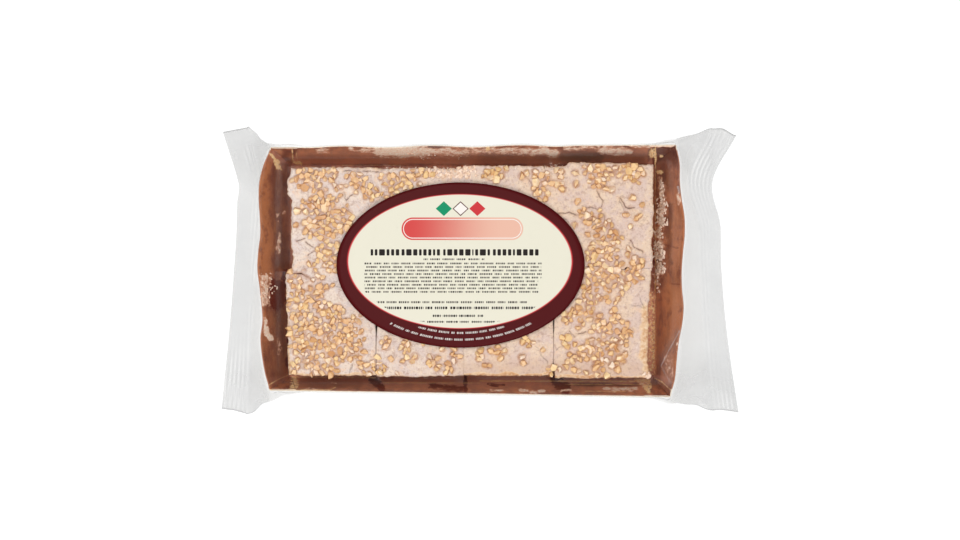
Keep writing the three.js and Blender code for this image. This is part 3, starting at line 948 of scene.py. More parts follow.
# Marks on the tray's inside: from x, y to x, y, half width and strength.
TRAY_MARKS = {
    # rubbed sugar
    "smear": (
        (-92.5, 67.5, -86.8, 67.5, 1.3, 0.62), (-74.6, 68.5, -73.4, 68.5, 0.9, 0.95),
        (-72.5, 67.7, -67.9, 67.7, 0.5, 0.7), (-66.8, 67.7, -60.5, 67.7, 1.5, 0.75),
        (-57, 68, -42.3, 67.5, 3.3, 1.05), (-43.4, 67.5, -29.7, 67.2, 2.5, 1),
        (-36.6, 67, -8, 67, 2.2, 0.72), (-4.6, 67.7, 30.8, 67.7, 1.9, 0.68),
        (30.3, 67.2, 36, 67.2, 1.9, 0.78), (34.8, 68.3, 43.6, 65.8, 2, 1), (47.8, 69, 67.1, 69, 1.1, 0.66),
        (70.2, 67.7, 82.2, 67.5, 2.3, 0.85), (84.1, 67, 86.4, 67, 1.3, 0.95),
        (85, 70.1, 108.8, 70.1, 0.8, 0.7), (-115.9, 21, -115.9, 9.5, 1.1, 0.6),
        (-116.1, 31.9, -116.1, 30.8, 0.9, 0.7), (-116.6, 27.9, -116.1, 27.9, 0.7, 0.7),
        (-113.3, 33.8, -113.3, 32.7, 0.8, 0.75), (-122.4, -5.4, -122, -18.4, 2.9, 0.7),
        (-122.9, -27.6, -121.4, -35.1, 0.7, 0.85), (-121.3, -33.8, -120.4, -39.7, 1.2, 1.3),
        (-115.7, -40.6, -115.7, -47.5, 1.5, 0.5), (-86.8, -65.3, -82.8, -65.3, 0.5, 0.7),
        (-99.3, -68, -90.1, -68.3, 0.6, 0.6), (-35.9, -63.1, -16.2, -63.1, 0.5, 0.55),
        (5.7, -68.8, 13.1, -68.8, 0.6, 0.8), (22.8, -68.8, 27.3, -68.8, 0.7, 0.9),
        (29, -69.4, 32.4, -69.4, 0.6, 0.85), (33.6, -69, 37, -69, 0.7, 0.95),
        (46.1, -69, 52.3, -69.3, 0.6, 0.75), (71.8, -68.3, 90.1, -68.3, 1.1, 0.75),
        (91.8, -63.8, 95.8, -68.3, 1.5, 0.7), (-76.2, -69, -67.1, -69, 0.5, 0.5),
        (103.7, 52.4, 104.2, 47.2, 1.3, 0.76), (104.9, 47.1, 105.2, 36.8, 1.9, 0.74),
        (105.2, 36.8, 103.7, 24.1, 1.9, 0.74), (103.7, 22.9, 103.7, 7.8, 2.2, 0.67),
        (103.9, 3.6, 103.7, -1.4, 2.1, 0.66), (102.3, -2, 102.8, -12.5, 1.3, 0.55),
        (113.2, 42.9, 113.2, 37.2, 1.1, 0.62), (112.2, -41.5, 112.2, -42.4, 0.5, 0.9),
        (112.2, -46.7, 112.2, -47.5, 0.5, 0.9), (107, -49.8, 108.4, -61.1, 1.9, 0.5),
    ),
    # cocoa cream
    "cocoa": (
        (-116.6, -9.4, -116.1, -18.7, 3.8, 1), (-113, -0.3, -113, -16.5, 1, 0.8),
        (-111.3, -40.9, -111.3, -56, 0.9, 0.6), (-63, -63.3, -56, -67.3, 1.7, 1.15),
        (-28.6, -66.8, -10.3, -68.5, 1.4, 0.72), (-8.4, -62.8, -8.3, -68.8, 1, 0.9),
        (5.2, -66.3, 13.8, -66.3, 0.9, 0.68), (43.3, -63.8, 49, -68.3, 2.6, 1.05),
        (102.8, 6.7, 103, 3.8, 1.5, 1.1),
    ),
    # worn to the board's core
    "wear": (
        (4, 68.3, 5.1, 68.3, 0.9, 0.9), (97.6, 67.5, 98.4, 64.9, 1.3, 0.85),
        (-106.8, 61.9, -104, 61.6, 1, 0.75), (99.4, 68.5, 101.3, 61.9, 0.5, 0.8),
        (103.6, 64.9, 104.7, 64.9, 0.8, 0.7), (-116.6, 61.8, -115.7, 59, 1.4, 0.95),
        (-119.5, 65.5, -117.6, 62.9, 0.7, 0.8), (-107.8, -63.8, -106.4, -67.2, 2.1, 0.62),
        (91.5, -63.6, 97, -64, 2, 0.66), (94, -67, 98, -66.6, 1.4, 0.58),
        (94.8, -67.8, 96.1, -69.3, 1, 0.8), (103.2, 56.5, 104.7, 55.8, 1, 0.85),
    ),
    # painted shade, darker board where shadow falls
    "shade": (
        (-36.9, 69.9, -5.7, 69.9, 0.8, 0.6), (48.3, 65.2, 67.9, 64.9, 3.1, 0.62),
        (3.5, 64.4, 46.1, 64.4, 3.1, 0.25), (71.5, 64.2, 95.7, 64.2, 2.9, 0.2),
        (103.6, 64.9, 111.6, 64.9, 4.9, 0.85), (95.9, 68.5, 97.7, 62.4, 0.7, 0.8),
        (-115.7, -24.5, -115.7, -59, 4.6, 0.5), (-122.8, -43, -120.9, -64.8, 1.9, 0.4),
        (-114.7, 53.9, -114.7, 4.3, 4, 0.42), (54.5, -66.3, 91.7, -66.3, 0.6, 0.7),
        (-103.3, -65.8, -68.8, -66.3, 1.7, 0.3), (99.6, -64.8, 107.3, -67.8, 2.3, 0.4),
        (106.1, 58.5, 108, 47.9, 2.9, 0.5), (103.7, -17.7, 103.7, -59.4, 1.2, 0.08),
        (108.4, 37.6, 108.4, 4.3, 0.9, 0.5),
    ),
}


def marks_at(kind, x, y):
    """Strength of one kind of mark, in soft-edged streaks whose outlines wander."""
    total = np.zeros(len(x))
    wander_x = x + 1.6 * MM * rough_field(x, y, 5 * MM, 61)
    wander_y = y + 0.9 * MM * rough_field(x, y, 5 * MM, 64)
    for x0, y0, x1, y1, half, strength in TRAY_MARKS[kind]:
        reach = chain_distance(wander_x, wander_y, (x0, y0, x1, y1)) / (half * MM)
        total = np.maximum(total, strength * fade_out(reach, 0.2, 2.0))
    return total


def painted_wall_light(x, y, z):
    """Painted light on the short walls: high up, and in a spot on the right one."""
    right = x > TRAY_X
    start = np.where(right, 107.0 - 4 * fade_out(y, -26 * MM, -12 * MM), 119.2) * MM
    start = start + 0.6 * MM * rough_field(y, z, 20 * MM, 3)
    light = np.where(right, 0.5, 0.9) * soft_step(np.abs(x), start, start + np.where(right, 4, 1.2) * MM)
    along_right, along_left = fade_out(y, 32 * MM, 46 * MM), 0.25 + 0.75 * soft_step(y, -12 * MM, 2 * MM)
    light = light * fade_out(np.abs(y), 54 * MM, 66 * MM) * np.where(right, along_right, along_left)
    spot = chain_distance(x, y, (110.5, -12, 110.5, -26))
    return np.maximum(light, 0.9 * fade_out(spot, 1 * MM, 7 * MM) * right)


def bare_strip(x, y):
    """The strip of base between the cake and the right-hand wall that has lost its brown, and is painted
    lighter.
    """
    strip = soft_step(x, 96 * MM, 98 * MM) * fade_out(x, 101.5 * MM, 103 * MM)
    return strip * fade_out(y, -16 * MM, -8 * MM) * soft_step(y, -62.5 * MM, -60 * MM)


def thicken(sheet, name, thickness, offset, **settings):
    """Gives a sheet its thickness, on the side that its faces turn to for an offset of 1."""
    wall = sheet.modifiers.new(name, "SOLIDIFY")
    wall.thickness = thickness
    wall.offset = offset
    for setting, value in settings.items():
        setattr(wall, setting, value)


def make_tray(inside, outside):
    """The walls and a border of the base as one sheet, closed over the base and made thick."""
    columns, rows = 960, 40
    border = 0.14

    def place(u, v):
        return tray_point(4 * u, v * (1 + border) - border)

    def close(bm):
        merge_near(bm)
        base = [edge for edge in open_edges(bm) if edge.verts[0].co.z < FLOOR_Z + MM]
        bmesh.ops.contextual_create(bm, geom=base)
        face_outwards(bm)
        if max(bm.faces, key=lambda face: face.calc_area()).normal.z < 0:
            bmesh.ops.reverse_faces(bm, faces=bm.faces)

    mesh = grid_mesh("board_tray", columns, rows, place)
    edit_mesh(mesh, close)
    x, y, z = read_points(mesh).T
    rise = (z - FLOOR_Z) / (RIM_Z - FLOOR_Z)
    strip = bare_strip(x, y)
    long_wall = soft_step(np.abs(y), 60.5 * MM, 62 * MM)
    # painted light towards the foot of the walls, most on the long ones
    foot_light = (0.15 + 0.8 * long_wall) * (1 - np.clip(rise, 0, 1)) ** 0.7
    for kind in TRAY_MARKS:
        amount = marks_at(kind, x, y)
        set_values(mesh, kind, np.maximum(amount, 0.5 * strip) if kind == "wear" else amount)
    # painted light, high on the short walls
    set_values(mesh, "light", painted_wall_light(x, y, z) * soft_step(rise, 0.2, 0.5))
    set_values(mesh, "lift", np.maximum(foot_light, strip))
    tray = make_piece(mesh, "tray_board", inside, outside)
    thicken(tray, "board", BOARD, -1, material_offset=1, material_offset_rim=1)
    return tray


def make_gussets(inside, outside):
    """The folded corners: a three-sided flap from each foot corner up to the rim of a long wall."""
    foot, climb, fold = 0.03, 0.955, 0.002
    off_wall, swing, flap = 0.22, 0.08, 0.3 * MM
    for number, (sx, sy) in enumerate(SQUARE_CORNERS, start=1):
        side = 0 if sy < 0 else 2

        def place(u, v):
            rise = foot + climb * v
            along = fold + u * rise * GUSSET_LENGTH / (2 * RIM_HALF_LENGTH)
            turn = side + (along if sx * sy > 0 else 1 - along)
            points = tray_point(turn, rise)
            uneven = rough_field(points[:, 0], points[:, 2], 8 * MM, 5)
            points[:, 1] -= sy * (off_wall + swing * uneven) * MM
            return points

        mesh = grid_mesh(f"corner_gusset_{number}", 16, 30, place)
        edit_mesh(mesh, face_outwards)
        x, y, _ = read_points(mesh).T
        for kind in TRAY_MARKS:
            set_values(mesh, kind, marks_at(kind, x, y))
        # no painted light on the gussets
        for shift in ("light", "lift"):
            set_values(mesh, shift, np.zeros(len(x)))
        gusset = make_piece(mesh, "tray_board", inside, outside)
        thicken(gusset, "board", flap, 0, material_offset_rim=1)


# The cake.

def portions():
    """Each portion's name, row, place in the row and cuts, in the order that they are made."""
    for r, row in enumerate(ROWS):
        for c in range(4):
            yield {
                "name": f"{row['name']}_{c + 1}", "row": r, "column": c, "seed": SEED + 40 * r + 7 * c,
                "left": row["cuts"][c], "right": row["cuts"][c + 1], "outer": row["outer"][c],
            }


def rough_line(along, pitch, seed, shift=0.0):
    """Random wander from about -1 to 1 along a line."""
    return rough_field(along, along * 0 + shift, pitch, seed)


def cut_wander(along, key):
    """How far a cut strays from its straight line."""
    return 0.45 * MM * rough_line(along, 9 * MM, SEED + 3, key * 37 * MM)


def half_gap(along, key, opening):
    """Half the width of a cut, which closes in places."""
    return (opening * lattice_field(along, along * 0 + key * 53 * MM, 10 * MM, SEED + 4) ** 2 - 0.03) * MM


def side_edge(portion, which, y):
    """The x of a portion's left or right side at y: ragged on the cake's outside, else a cut."""
    row = ROWS[portion["row"]]
    index = portion["column"] + (which == "right")
    key = 3 + 5 * portion["row"] + index
    outer, middle_cut = row["outer"][0], -2
    front, back = (outer, middle_cut) if portion["row"] == 0 else (middle_cut, outer)
    low, high = portion[which]
    x = low * MM + (high - low) * MM * np.clip((y / MM - front) / (back - front), 0, 1)
    if index in (0, 4):
        for bulge_row, bulge_cut, middle, half, depth in BULGES:
            if (bulge_row, bulge_cut) == (portion["row"], index):
                x = x + depth * MM * near(y / MM, middle, half, 0.4)
        return x + (0.8 * rough_line(y, 7 * MM, key) + 0.4 * rough_line(y, 1.7 * MM, key + 20)) * MM
    inwards = 1 if which == "left" else -1
    return x + cut_wander(y, key) + inwards * half_gap(y, key, row["open"][index])


def row_cut(x):
    """The y of the cut between the rows at x."""
    places, heights = zip(*ROW_CUT)
    return np.interp(x / MM, places, heights) * MM + cut_wander(x, 1)


def end_edge(portion, which, x):
    """The y of a portion's front or back side at x: ragged on the cake's outside, else a cut."""
    if (which == "front") == (portion["row"] == 0):
        key = 60 + 3 * portion["row"]
        ragged = 0.6 * rough_line(x, 8 * MM, key) + 0.45 * rough_line(x, 1.6 * MM, key + 1)
        for row, middle, half, depth in DENTS:
            if row == portion["row"]:
                ragged = ragged - depth * np.sign(portion["outer"]) * near(x / MM, middle, half, 0.7)
        return portion["outer"] * MM + ragged * MM
    gap = half_gap(x, 2, 0.12)
    if portion["row"] == 0:
        return row_cut(x) - gap
    for middle, half, depth in ROW_GAPS:
        gap = gap + depth * MM * near(x / MM, middle, half, 0.5)
    return row_cut(x) + gap


def fit_portion(portion, across, along, inset=0.0):
    """Where places from -1 to 1 come to lie between a portion's uneven sides.

    Also gives how far each lies from each side.
    """
    left, right = portion["left"][0] * MM, portion["right"][0] * MM
    x = (left + right) / 2 + (right - left) / 2 * across
    for _ in range(3):
        front, back = end_edge(portion, "front", x), end_edge(portion, "back", x)
        y = (front + back) / 2 + ((back - front) / 2 - inset) * along
        left, right = side_edge(portion, "left", y), side_edge(portion, "right", y)
        x = (left + right) / 2 + ((right - left) / 2 - inset) * across
    return x, y, {"left": x - left, "right": right - x, "front": y - front, "back": back - y}


def outer_sides(portion):
    """The sides of a portion that are also the cake's."""
    sides = {"front" if portion["row"] == 0 else "back"}
    if portion["column"] == 0:
        sides.add("left")
    if portion["column"] == 3:
        sides.add("right")
    return sides


def top_height(x, y):
    """Height of the sugar crust before cracks and edges."""
    return CAKE_TOP + (0.5 * rough_field(x, y, 13 * MM, 71) + 0.32 * rough_field(x, y, 3.6 * MM, 83, 2)) * MM


def plate_cracks(x, y, portion):
    """Faint cracks between plates of sugar: the borders between cells round random middles."""
    plates = 14
    draw = np.random.default_rng(portion["seed"] + 5)
    left, right = portion["left"][0] * MM, portion["right"][0] * MM
    row_middle = -30 * MM if portion["row"] == 0 else 28 * MM
    across = draw.uniform(left, right, plates)
    middles = np.stack([across, row_middle + draw.uniform(-30 * MM, 30 * MM, plates)], axis=1)
    wander_x = x + 1.6 * MM * rough_field(x, y, 5 * MM, portion["seed"] + 1)
    wander_y = y + 1.6 * MM * rough_field(x, y, 5 * MM, portion["seed"] + 2)
    reach = np.hypot(wander_x[:, None] - middles[:, 0], wander_y[:, None] - middles[:, 1])
    first, second = np.argsort(reach, axis=1)[:, :2].T
    points = np.arange(len(x))
    apart = np.linalg.norm(middles[first] - middles[second], axis=1)
    away = (reach[points, second] ** 2 - reach[points, first] ** 2) / (2 * apart)
    shown = 0.6 * soft_step(lattice_field(x, y, 9 * MM, portion["seed"] + 3), 0.66, 0.84)
    return shown * fade_out(away, 0.1 * MM, 0.42 * MM)


def long_cracks(x, y):
    """The cracks that run from place to place, and the painted shade beside them."""
    jitter_x = x + 1.1 * MM * rough_field(x, y, 3.4 * MM, 91)
    jitter_y = y + 1.1 * MM * rough_field(x, y, 3.4 * MM, 92)
    width = 0.6 + 0.9 * lattice_field(x, y, 2.5 * MM, 95)
    crack, crack_shade = np.zeros(len(x)), np.zeros(len(x))
    for chain in CRACKS:
        away = chain_distance(jitter_x, jitter_y, chain) / width
        crack = np.maximum(crack, fade_out(away, 0.06 * MM, 0.4 * MM))
        crack_shade = np.maximum(crack_shade, fade_out(away, 0.3 * MM, 1.5 * MM))
    return crack, crack_shade


def nut_cover(nuts, x, y, low, high):
    """0 far from nuts, 1 within reach of one and more where several lie close together."""
    cover = np.zeros(len(x))
    for nut in nuts:
        if nut["lift"] == 0:
            reach = high * nut["size"]
            close = (np.abs(x - nut["x"]) < reach) & (np.abs(y - nut["y"]) < reach)
            away = np.hypot(x[close] - nut["x"], y[close] - nut["y"]) / nut["size"]
            cover[close] += fade_out(away, low, high)
    return cover


def bare_edges(portion, x, y, edges):
    """How far the sugar has gone from the cake's edges, which differ from portion to portion."""
    front_row, column = portion["row"] == 0, portion["column"]
    outer = np.minimum.reduce([edges[side] for side in outer_sides(portion)]) / MM
    reach = 0.6 + 2.6 * lattice_field(x, y, 8 * MM, portion["seed"] + 27)
    bare = 0.6 * fade_out(outer, -0.1, 1.3)
    if front_row and column == 0:
        upwards = 20 * MM * soft_step(y, -46 * MM, -38 * MM)
        corner = np.minimum(edges["front"], edges["left"] + upwards) / MM
        bare = np.maximum(bare, 0.66 * soft_step(0.8 * reach - corner, -0.8, 0.8))
    if front_row and column > 1:
        bare = np.maximum(bare, 0.74 * soft_step(reach - edges["front"] / MM, -0.8, 0.8))
    if front_row and column == 3:
        right_end = soft_step(x / MM + 1.1 * reach, 90, 96) * fade_out(y, -24 * MM, -12 * MM)
        bare = np.maximum(bare, 0.7 * right_end)
    if not front_row and column == 0:
        strip = soft_step(y / MM + 0.4 * reach, 55.2, 56.4) * soft_step(x, -84 * MM, -80 * MM)
        bare = np.maximum(bare, 0.45 * strip)
    return bare


def hang_skirt(bm):
    """Turns a crust's open edges down over the sides of the cake."""
    made = bmesh.ops.extrude_edge_only(bm, edges=open_edges(bm))["geom"]
    low = [v for v in made if isinstance(v, bmesh.types.BMVert)]
    bmesh.ops.translate(bm, verts=low, vec=(0, 0, -CRUST_SKIRT))


def crust_mesh(portion):
    """A level grid over a portion's top, and how far each of its points lies from each side."""
    edges = {}

    def place(u, v):
        x, y, distances = fit_portion(portion, 2 * u - 1, 2 * v - 1)
        edges.update(distances)
        return stack(x, y, top_height(x, y))

    def turn_up(bm):
        bmesh.ops.reverse_faces(bm, faces=[face for face in bm.faces if face.normal.z < 0])

    width = (portion["right"][0] - portion["left"][0]) * MM
    columns, rows = round(width / CRUST_CELL), round(ROW_DEPTH / CRUST_CELL)
    mesh = grid_mesh(f"sugar_crust_{portion['name']}", columns, rows, place)
    edit_mesh(mesh, turn_up)
    return mesh, edges


def make_crust(portion, nuts, sugar):
    """A portion's plate of icing sugar, with cracks, crumbling edges, a bed round each nut and painted shade.
    """
    crack_depth, nut_swell = 0.4, 0.35
    mesh, edges = crust_mesh(portion)
    x, y, z = read_points(mesh).T
    seed, row = portion["seed"], ROWS[portion["row"]]
    outside = outer_sides(portion)
    outer = np.minimum.reduce([edges[side] for side in outside]) / MM
    nearest = np.minimum.reduce(list(edges.values())) / MM
    row_side = "back" if portion["row"] == 0 else "front"
    row_edge = edges[row_side] / MM
    closed = near(x / MM, sum(CLOSED_CUT) / 2, (CLOSED_CUT[1] - CLOSED_CUT[0]) / 1.4) * (row_edge < 2)
    gaping = sum(near(x / MM, middle, half + 3) for middle, half, _ in ROW_GAPS)
    shown = {
        "left": row["shown"][portion["column"]],
        "right": row["shown"][portion["column"] + 1],
        row_side: np.minimum(1, 0.3 + 0.7 * gaping),
    }
    cuts = [side for side in shown if side not in outside]
    dip = np.maximum.reduce([shown[side] * fade_out(edges[side] / MM, -0.1, 0.7) for side in cuts])
    # painted shade along the cuts between portions, in place of the shadow in a gap
    line = np.maximum.reduce([shown[side] * fade_out(edges[side] / MM, 0.05, 0.45) for side in cuts])
    line = line * (0.1 + 0.5 * lattice_field(x, y, 6 * MM, seed + 31)) * (1 - closed)
    hill = np.minimum(1, nut_cover(nuts, x, y, 0.3, 0.95))
    long_crack, crack_shade = long_cracks(x, y)
    crack = np.maximum(plate_cracks(x, y, portion), long_crack) * soft_step(nearest, 0.6, 2)
    crack = crack * (1 - 0.6 * soft_step(hill, 0.4, 0.9))
    grain = 0.2 * rough_field(x, y, 1.9 * MM, seed + 21, 2) + 0.09 * rough_field(x, y, 0.9 * MM, seed + 24, 1)
    fallen = 0.9 * fade_out(outer, -0.2, 1.5) ** 2 + 0.4 * dip ** 2 * (1 - closed)
    relief = grain - fallen - crack_depth * crack + nut_swell * hill
    write_points(mesh, stack(x, y, z + relief * MM))
    uneven = lattice_field(x, y, 1.5 * MM, seed + 33)
    # Painted shade: round each nut, between nuts in crowded heaps, where the rows' cut gapes at the left, and
    # beside the long cracks.
    contact_shade = (0.18 + 0.45 * uneven) * np.minimum(1, nut_cover(nuts, x, y, 0.34, 0.48))
    heap = soft_step(nut_cover(nuts, x, y, 0.35, 0.85), 1.2, 2.6) * (0.1 + 0.75 * uneven ** 2)
    gap_shade = 0.6 * near(x / MM, -101, 9) * fade_out(row_edge, 0.3, 1.8)
    set_values(mesh, "bare", bare_edges(portion, x, y, edges))
    set_values(mesh, "crack", np.maximum(0.85 * crack, line))
    set_values(mesh, "shaded", np.maximum.reduce([contact_shade, heap, gap_shade, 0.22 * crack_shade]))
    edit_mesh(mesh, hang_skirt)
    return make_piece(mesh, "icing_sugar", sugar)


LAYER_KINDS = ("pastry", "custard", "cocoa")


def layer_at(z):
    """Which of a stack's finishes shows at a height."""
    share = (z - STACK_LOW) / (STACK_HIGH - STACK_LOW) * sum(height for _, height in LAYERS)
    for kind, height in LAYERS:
        if share <= height:
            break
        share -= height
    return LAYER_KINDS.index(kind)


def make_stack(portion, finishes):
    """The baked leaves and cream under the crust, as one closed block with ragged sides."""
    around, levels = 170, 30
    seed = portion["seed"] + 30

    def place(u, v):
        across, along = square_place(4 * u)
        x, y, _ = fit_portion(portion, across, along, STACK_INSET)
        level = np.round(v * levels)
        out = 0.5 * rough_field(x + level * 17 * MM, y - level * 11 * MM, 7 * MM, seed)
        out = (out + 0.2 * rough_field(x, y + level * 5 * MM, 2 * MM, seed + 1)) * MM
        x = x + np.sign(across) * np.abs(across) ** 8 * out
        y = y + np.sign(along) * np.abs(along) ** 8 * out
        return stack(x, y, STACK_LOW + (STACK_HIGH - STACK_LOW) * v)

    def close(bm):
        merge_near(bm)
        for at in (STACK_LOW, STACK_HIGH):
            ring = [edge for edge in open_edges(bm) if abs(edge.verts[0].co.z - at) < 0.05 * MM]
            bmesh.ops.contextual_create(bm, geom=ring)
        face_outwards(bm)
        for face in bm.faces:
            face.material_index = layer_at(face.calc_center_median().z)

    mesh = grid_mesh(f"leaves_and_cream_{portion['name']}", around, levels, place)
    edit_mesh(mesh, close)
    return make_piece(mesh, "pastry", *finishes)


# Nuts and crumbs.

def chip_shape(draw, points, stretch, cuts):
    """A chopped chip of half length 1: the hull of points on a ball, with flat faces cut on it."""
    bm = bmesh.new()
    golden_turn = math.pi * (3 - math.sqrt(5))
    for k in range(points):
        z = 1 - 2 * (k + 0.5) / points
        ring = math.sqrt(1 - z * z)
        angle = k * golden_turn + draw.uniform(-0.5, 0.5)
        spot = Vector((ring * math.cos(angle), ring * math.sin(angle), z)) * draw.uniform(0.74, 1.1)
        bm.verts.new(Vector(a * b for a, b in zip(spot, stretch)))
    made = bmesh.ops.convex_hull(bm, input=bm.verts)
    bmesh.ops.delete(bm, geom=made["geom_interior"] + made["geom_unused"], context="VERTS")
    for number in range(cuts):
        side = Vector(draw.normal(size=3))
        if number == 0:
            side.z = abs(side.z) + 1
        side.normalize()
        cut = bmesh.ops.bisect_plane(
            bm, geom=[*bm.verts, *bm.edges, *bm.faces], dist=1e-5, clear_outer=True,
            plane_co=side * draw.uniform(0.5, 0.75) * min(stretch), plane_no=side,
        )
        ring = [part for part in cut["geom_cut"] if isinstance(part, bmesh.types.BMEdge)]
        bmesh.ops.contextual_create(bm, geom=ring)
    bmesh.ops.triangulate(bm, faces=bm.faces)
    face_outwards(bm)
    middle = sum((v.co for v in bm.verts), Vector()) / len(bm.verts)
    bmesh.ops.translate(bm, verts=bm.verts, vec=-middle)
    longest = max(v.co.length for v in bm.verts)
    bmesh.ops.scale(bm, verts=bm.verts, vec=Vector((1, 1, 1)) / longest)
    return keep_mesh(bm, "chip")


def scatter(name, shapes, places, slot, material):
    """One mesh of many chips. Each place gives its shape, matrix and the values its points carry."""
    bm = bmesh.new()
    tint, dust, low = [], [], []
    for spot in places:
        before = len(bm.verts)
        bm.from_mesh(shapes[spot["shape"]])
        bm.verts.ensure_lookup_table()
        added = bm.verts[before:]
        bmesh.ops.transform(bm, matrix=spot["matrix"], verts=added)
        tint += [spot["tint"]] * len(added)
        dust += [spot["dust"]] * len(added)
        low += [(spot["matrix"].translation.z - v.co.z) / spot["half"] for v in added]
    mesh = keep_mesh(bm, name)
    set_values(mesh, "tint", tint)
    set_values(mesh, "dust", dust)
    # low is painted shade: darker the further a point lies below its chip's middle
    set_values(mesh, "low", soft_step(np.array(low), -0.2, 0.55))
    return make_piece(mesh, slot, material, smooth=False)


def on_label(x, y, margin):
    """Whether a place lies under the label, by more than a margin."""
    middle, half = (LABEL_LOW + LABEL_HIGH) / 2, (LABEL_HIGH - LABEL_LOW) / 2
    return math.hypot((x - middle.x) / (half.x - margin), (y - middle.y) / (half.y - margin)) < 1


MAP_X = np.arange(-120, 106, 0.5) * MM
MAP_Y = np.arange(-68, 66, 0.5) * MM


def map_cake():
    """Which cells of half a millimetre lie on a portion, a little inside the cake's outer sides."""
    x, y = (part.ravel() for part in np.meshgrid(MAP_X, MAP_Y, indexing="ij"))
    covered = np.zeros(len(x), dtype=bool)
    for portion in portions():
        outside = outer_sides(portion)
        margin = {side: MM if side in outside else -MM for side in ("left", "right", "front", "back")}
        inside = x > side_edge(portion, "left", y) + margin["left"]
        inside &= x < side_edge(portion, "right", y) - margin["right"]
        inside &= y > end_edge(portion, "front", x) + margin["front"]
        inside &= y < end_edge(portion, "back", x) - margin["back"]
        covered |= inside
    return covered.reshape(len(MAP_X), len(MAP_Y))


def place_nuts(draw):
    """Where nuts lie and how long they are: heaps, then strays, with few touching."""
    covered = map_cake()
    nuts = []

    def try_place(x, y, size, spread, lift=0.0):
        i, j = np.searchsorted(MAP_X, x), np.searchsorted(MAP_Y, y)
        if on_label(x, y, UNDER_LABEL) or i >= len(MAP_X) or j >= len(MAP_Y) or not covered[i, j]:
            return False
        for nut in nuts:
            away = math.hypot(x - nut["x"], y - nut["y"])
            if nut["lift"] == lift and away < spread * (size + nut["size"]):
                return False
        nuts.append({"x": x, "y": y, "size": size, "lift": lift})
        return True

    for cx, cy, reach, count in NUT_HEAPS:
        lower = count * CROWDING if count > 2 else count
        upper = (count - FIRST_FEW) * UPPER_SHARE
        for lift, wanted, share in ((0.0, lower, 1.0), (UPPER_LIFT, upper, SMALL_NUT)):
            made = 0
            for _ in range(count * TRIES_FOR_EACH):
                if made >= wanted:
                    break
                size = draw.uniform(*NUT_LENGTH) * share
                spot = draw.normal(size=2) * reach * 0.7 * MM
                made += try_place(cx * MM + spot[0], cy * MM + spot[1], size, HEAP_SPREAD, lift)
    for _ in range(STRAY_NUTS):
        x, y = draw.uniform(*STRAY_ALONG) * MM, draw.uniform(*STRAY_ACROSS) * MM
        try_place(x, y, draw.uniform(*NUT_LENGTH) * SMALL_NUT, STRAY_SPREAD)
    return nuts


def random_turn(draw, low, high, axis):
    """A turn by a random angle."""
    return Matrix.Rotation(draw.uniform(low, high), 4, axis)


def random_share(draw, middle, spread, most):
    """A random number about a middle, from 0 to the most that it may be."""
    return float(np.clip(draw.normal(middle, spread), 0, most))


def make_nuts(draw, nuts, film_tree, material):
    """Chips that lie a little sunk in the sugar, at a slant, and stay under the film."""
    kinds, corners, cuts, slant = 24, 12, 3, 0.45
    perch, under_film = 0.34, 0.1 * MM
    shapes = [
        chip_shape(draw, corners, (1, draw.uniform(0.42, 0.9), draw.uniform(0.5, 0.8)), cuts)
        for _ in range(kinds)
    ]
    places = []
    for nut in nuts:
        half = nut["size"] / 2
        centre = float(top_height(nut["x"], nut["y"])) + perch * half + nut["lift"]
        tilt = random_turn(draw, -slant, slant, "X") @ random_turn(draw, -slant, slant, "Y")
        lie = random_turn(draw, 0, 2 * math.pi, "Z") @ tilt @ Matrix.Scale(half, 4)
        shape = int(draw.integers(kinds))
        top = max((lie @ v.co).z for v in shapes[shape].vertices)
        film = film_tree.ray_cast(Vector((nut["x"], nut["y"], centre)), UP)[0]
        if film:
            centre = min(centre, film.z - top - under_film)
        where = Matrix.Translation((nut["x"], nut["y"], centre))
        places.append({
            "shape": shape, "matrix": where @ lie, "half": half,
            "tint": random_share(draw, 0.42, 0.26, 1), "dust": random_share(draw, 0.32, 0.15, 0.8),
        })
    return scatter("chopped_nuts", shapes, places, "nuts", material)


# Crumbs lie in a few places: along, across, half sizes, number and greatest length in millimetres.
CRUMB_FALLS = (
    (105.0, 44, 1.1, 8, 26, 3.2), (105.4, 33, 2.4, 8, 66, 3.8), (103.9, 23, 1.9, 6, 32, 3.4),
    (103.6, 11, 2.8, 5, 56, 4.0), (104.0, 1, 2.4, 3.4, 28, 3.8), (103.2, -8, 1.4, 6, 12, 2.4),
    (-121.5, -9, 3.4, 7, 30, 1.8), (-117.2, -10.3, 3.0, 0.9, 9, 2.0), (-36, 66, 25, 2.5, 40, 1.6),
    (95.3, -60.6, 2.4, 1.6, 14, 4.4), (58, -62, 20, 0.8, 12, 1.5), (-15, 55.5, 14, 3.4, 110, 3.4),
    (44, 60.5, 6, 1.2, 14, 2.2), (-30, 58.8, 26, 0.6, 24, 1.6), (96.5, 4, 0.8, 50, 26, 1.8),
    (-109.5, -30, 0.7, 28, 18, 1.5),
)


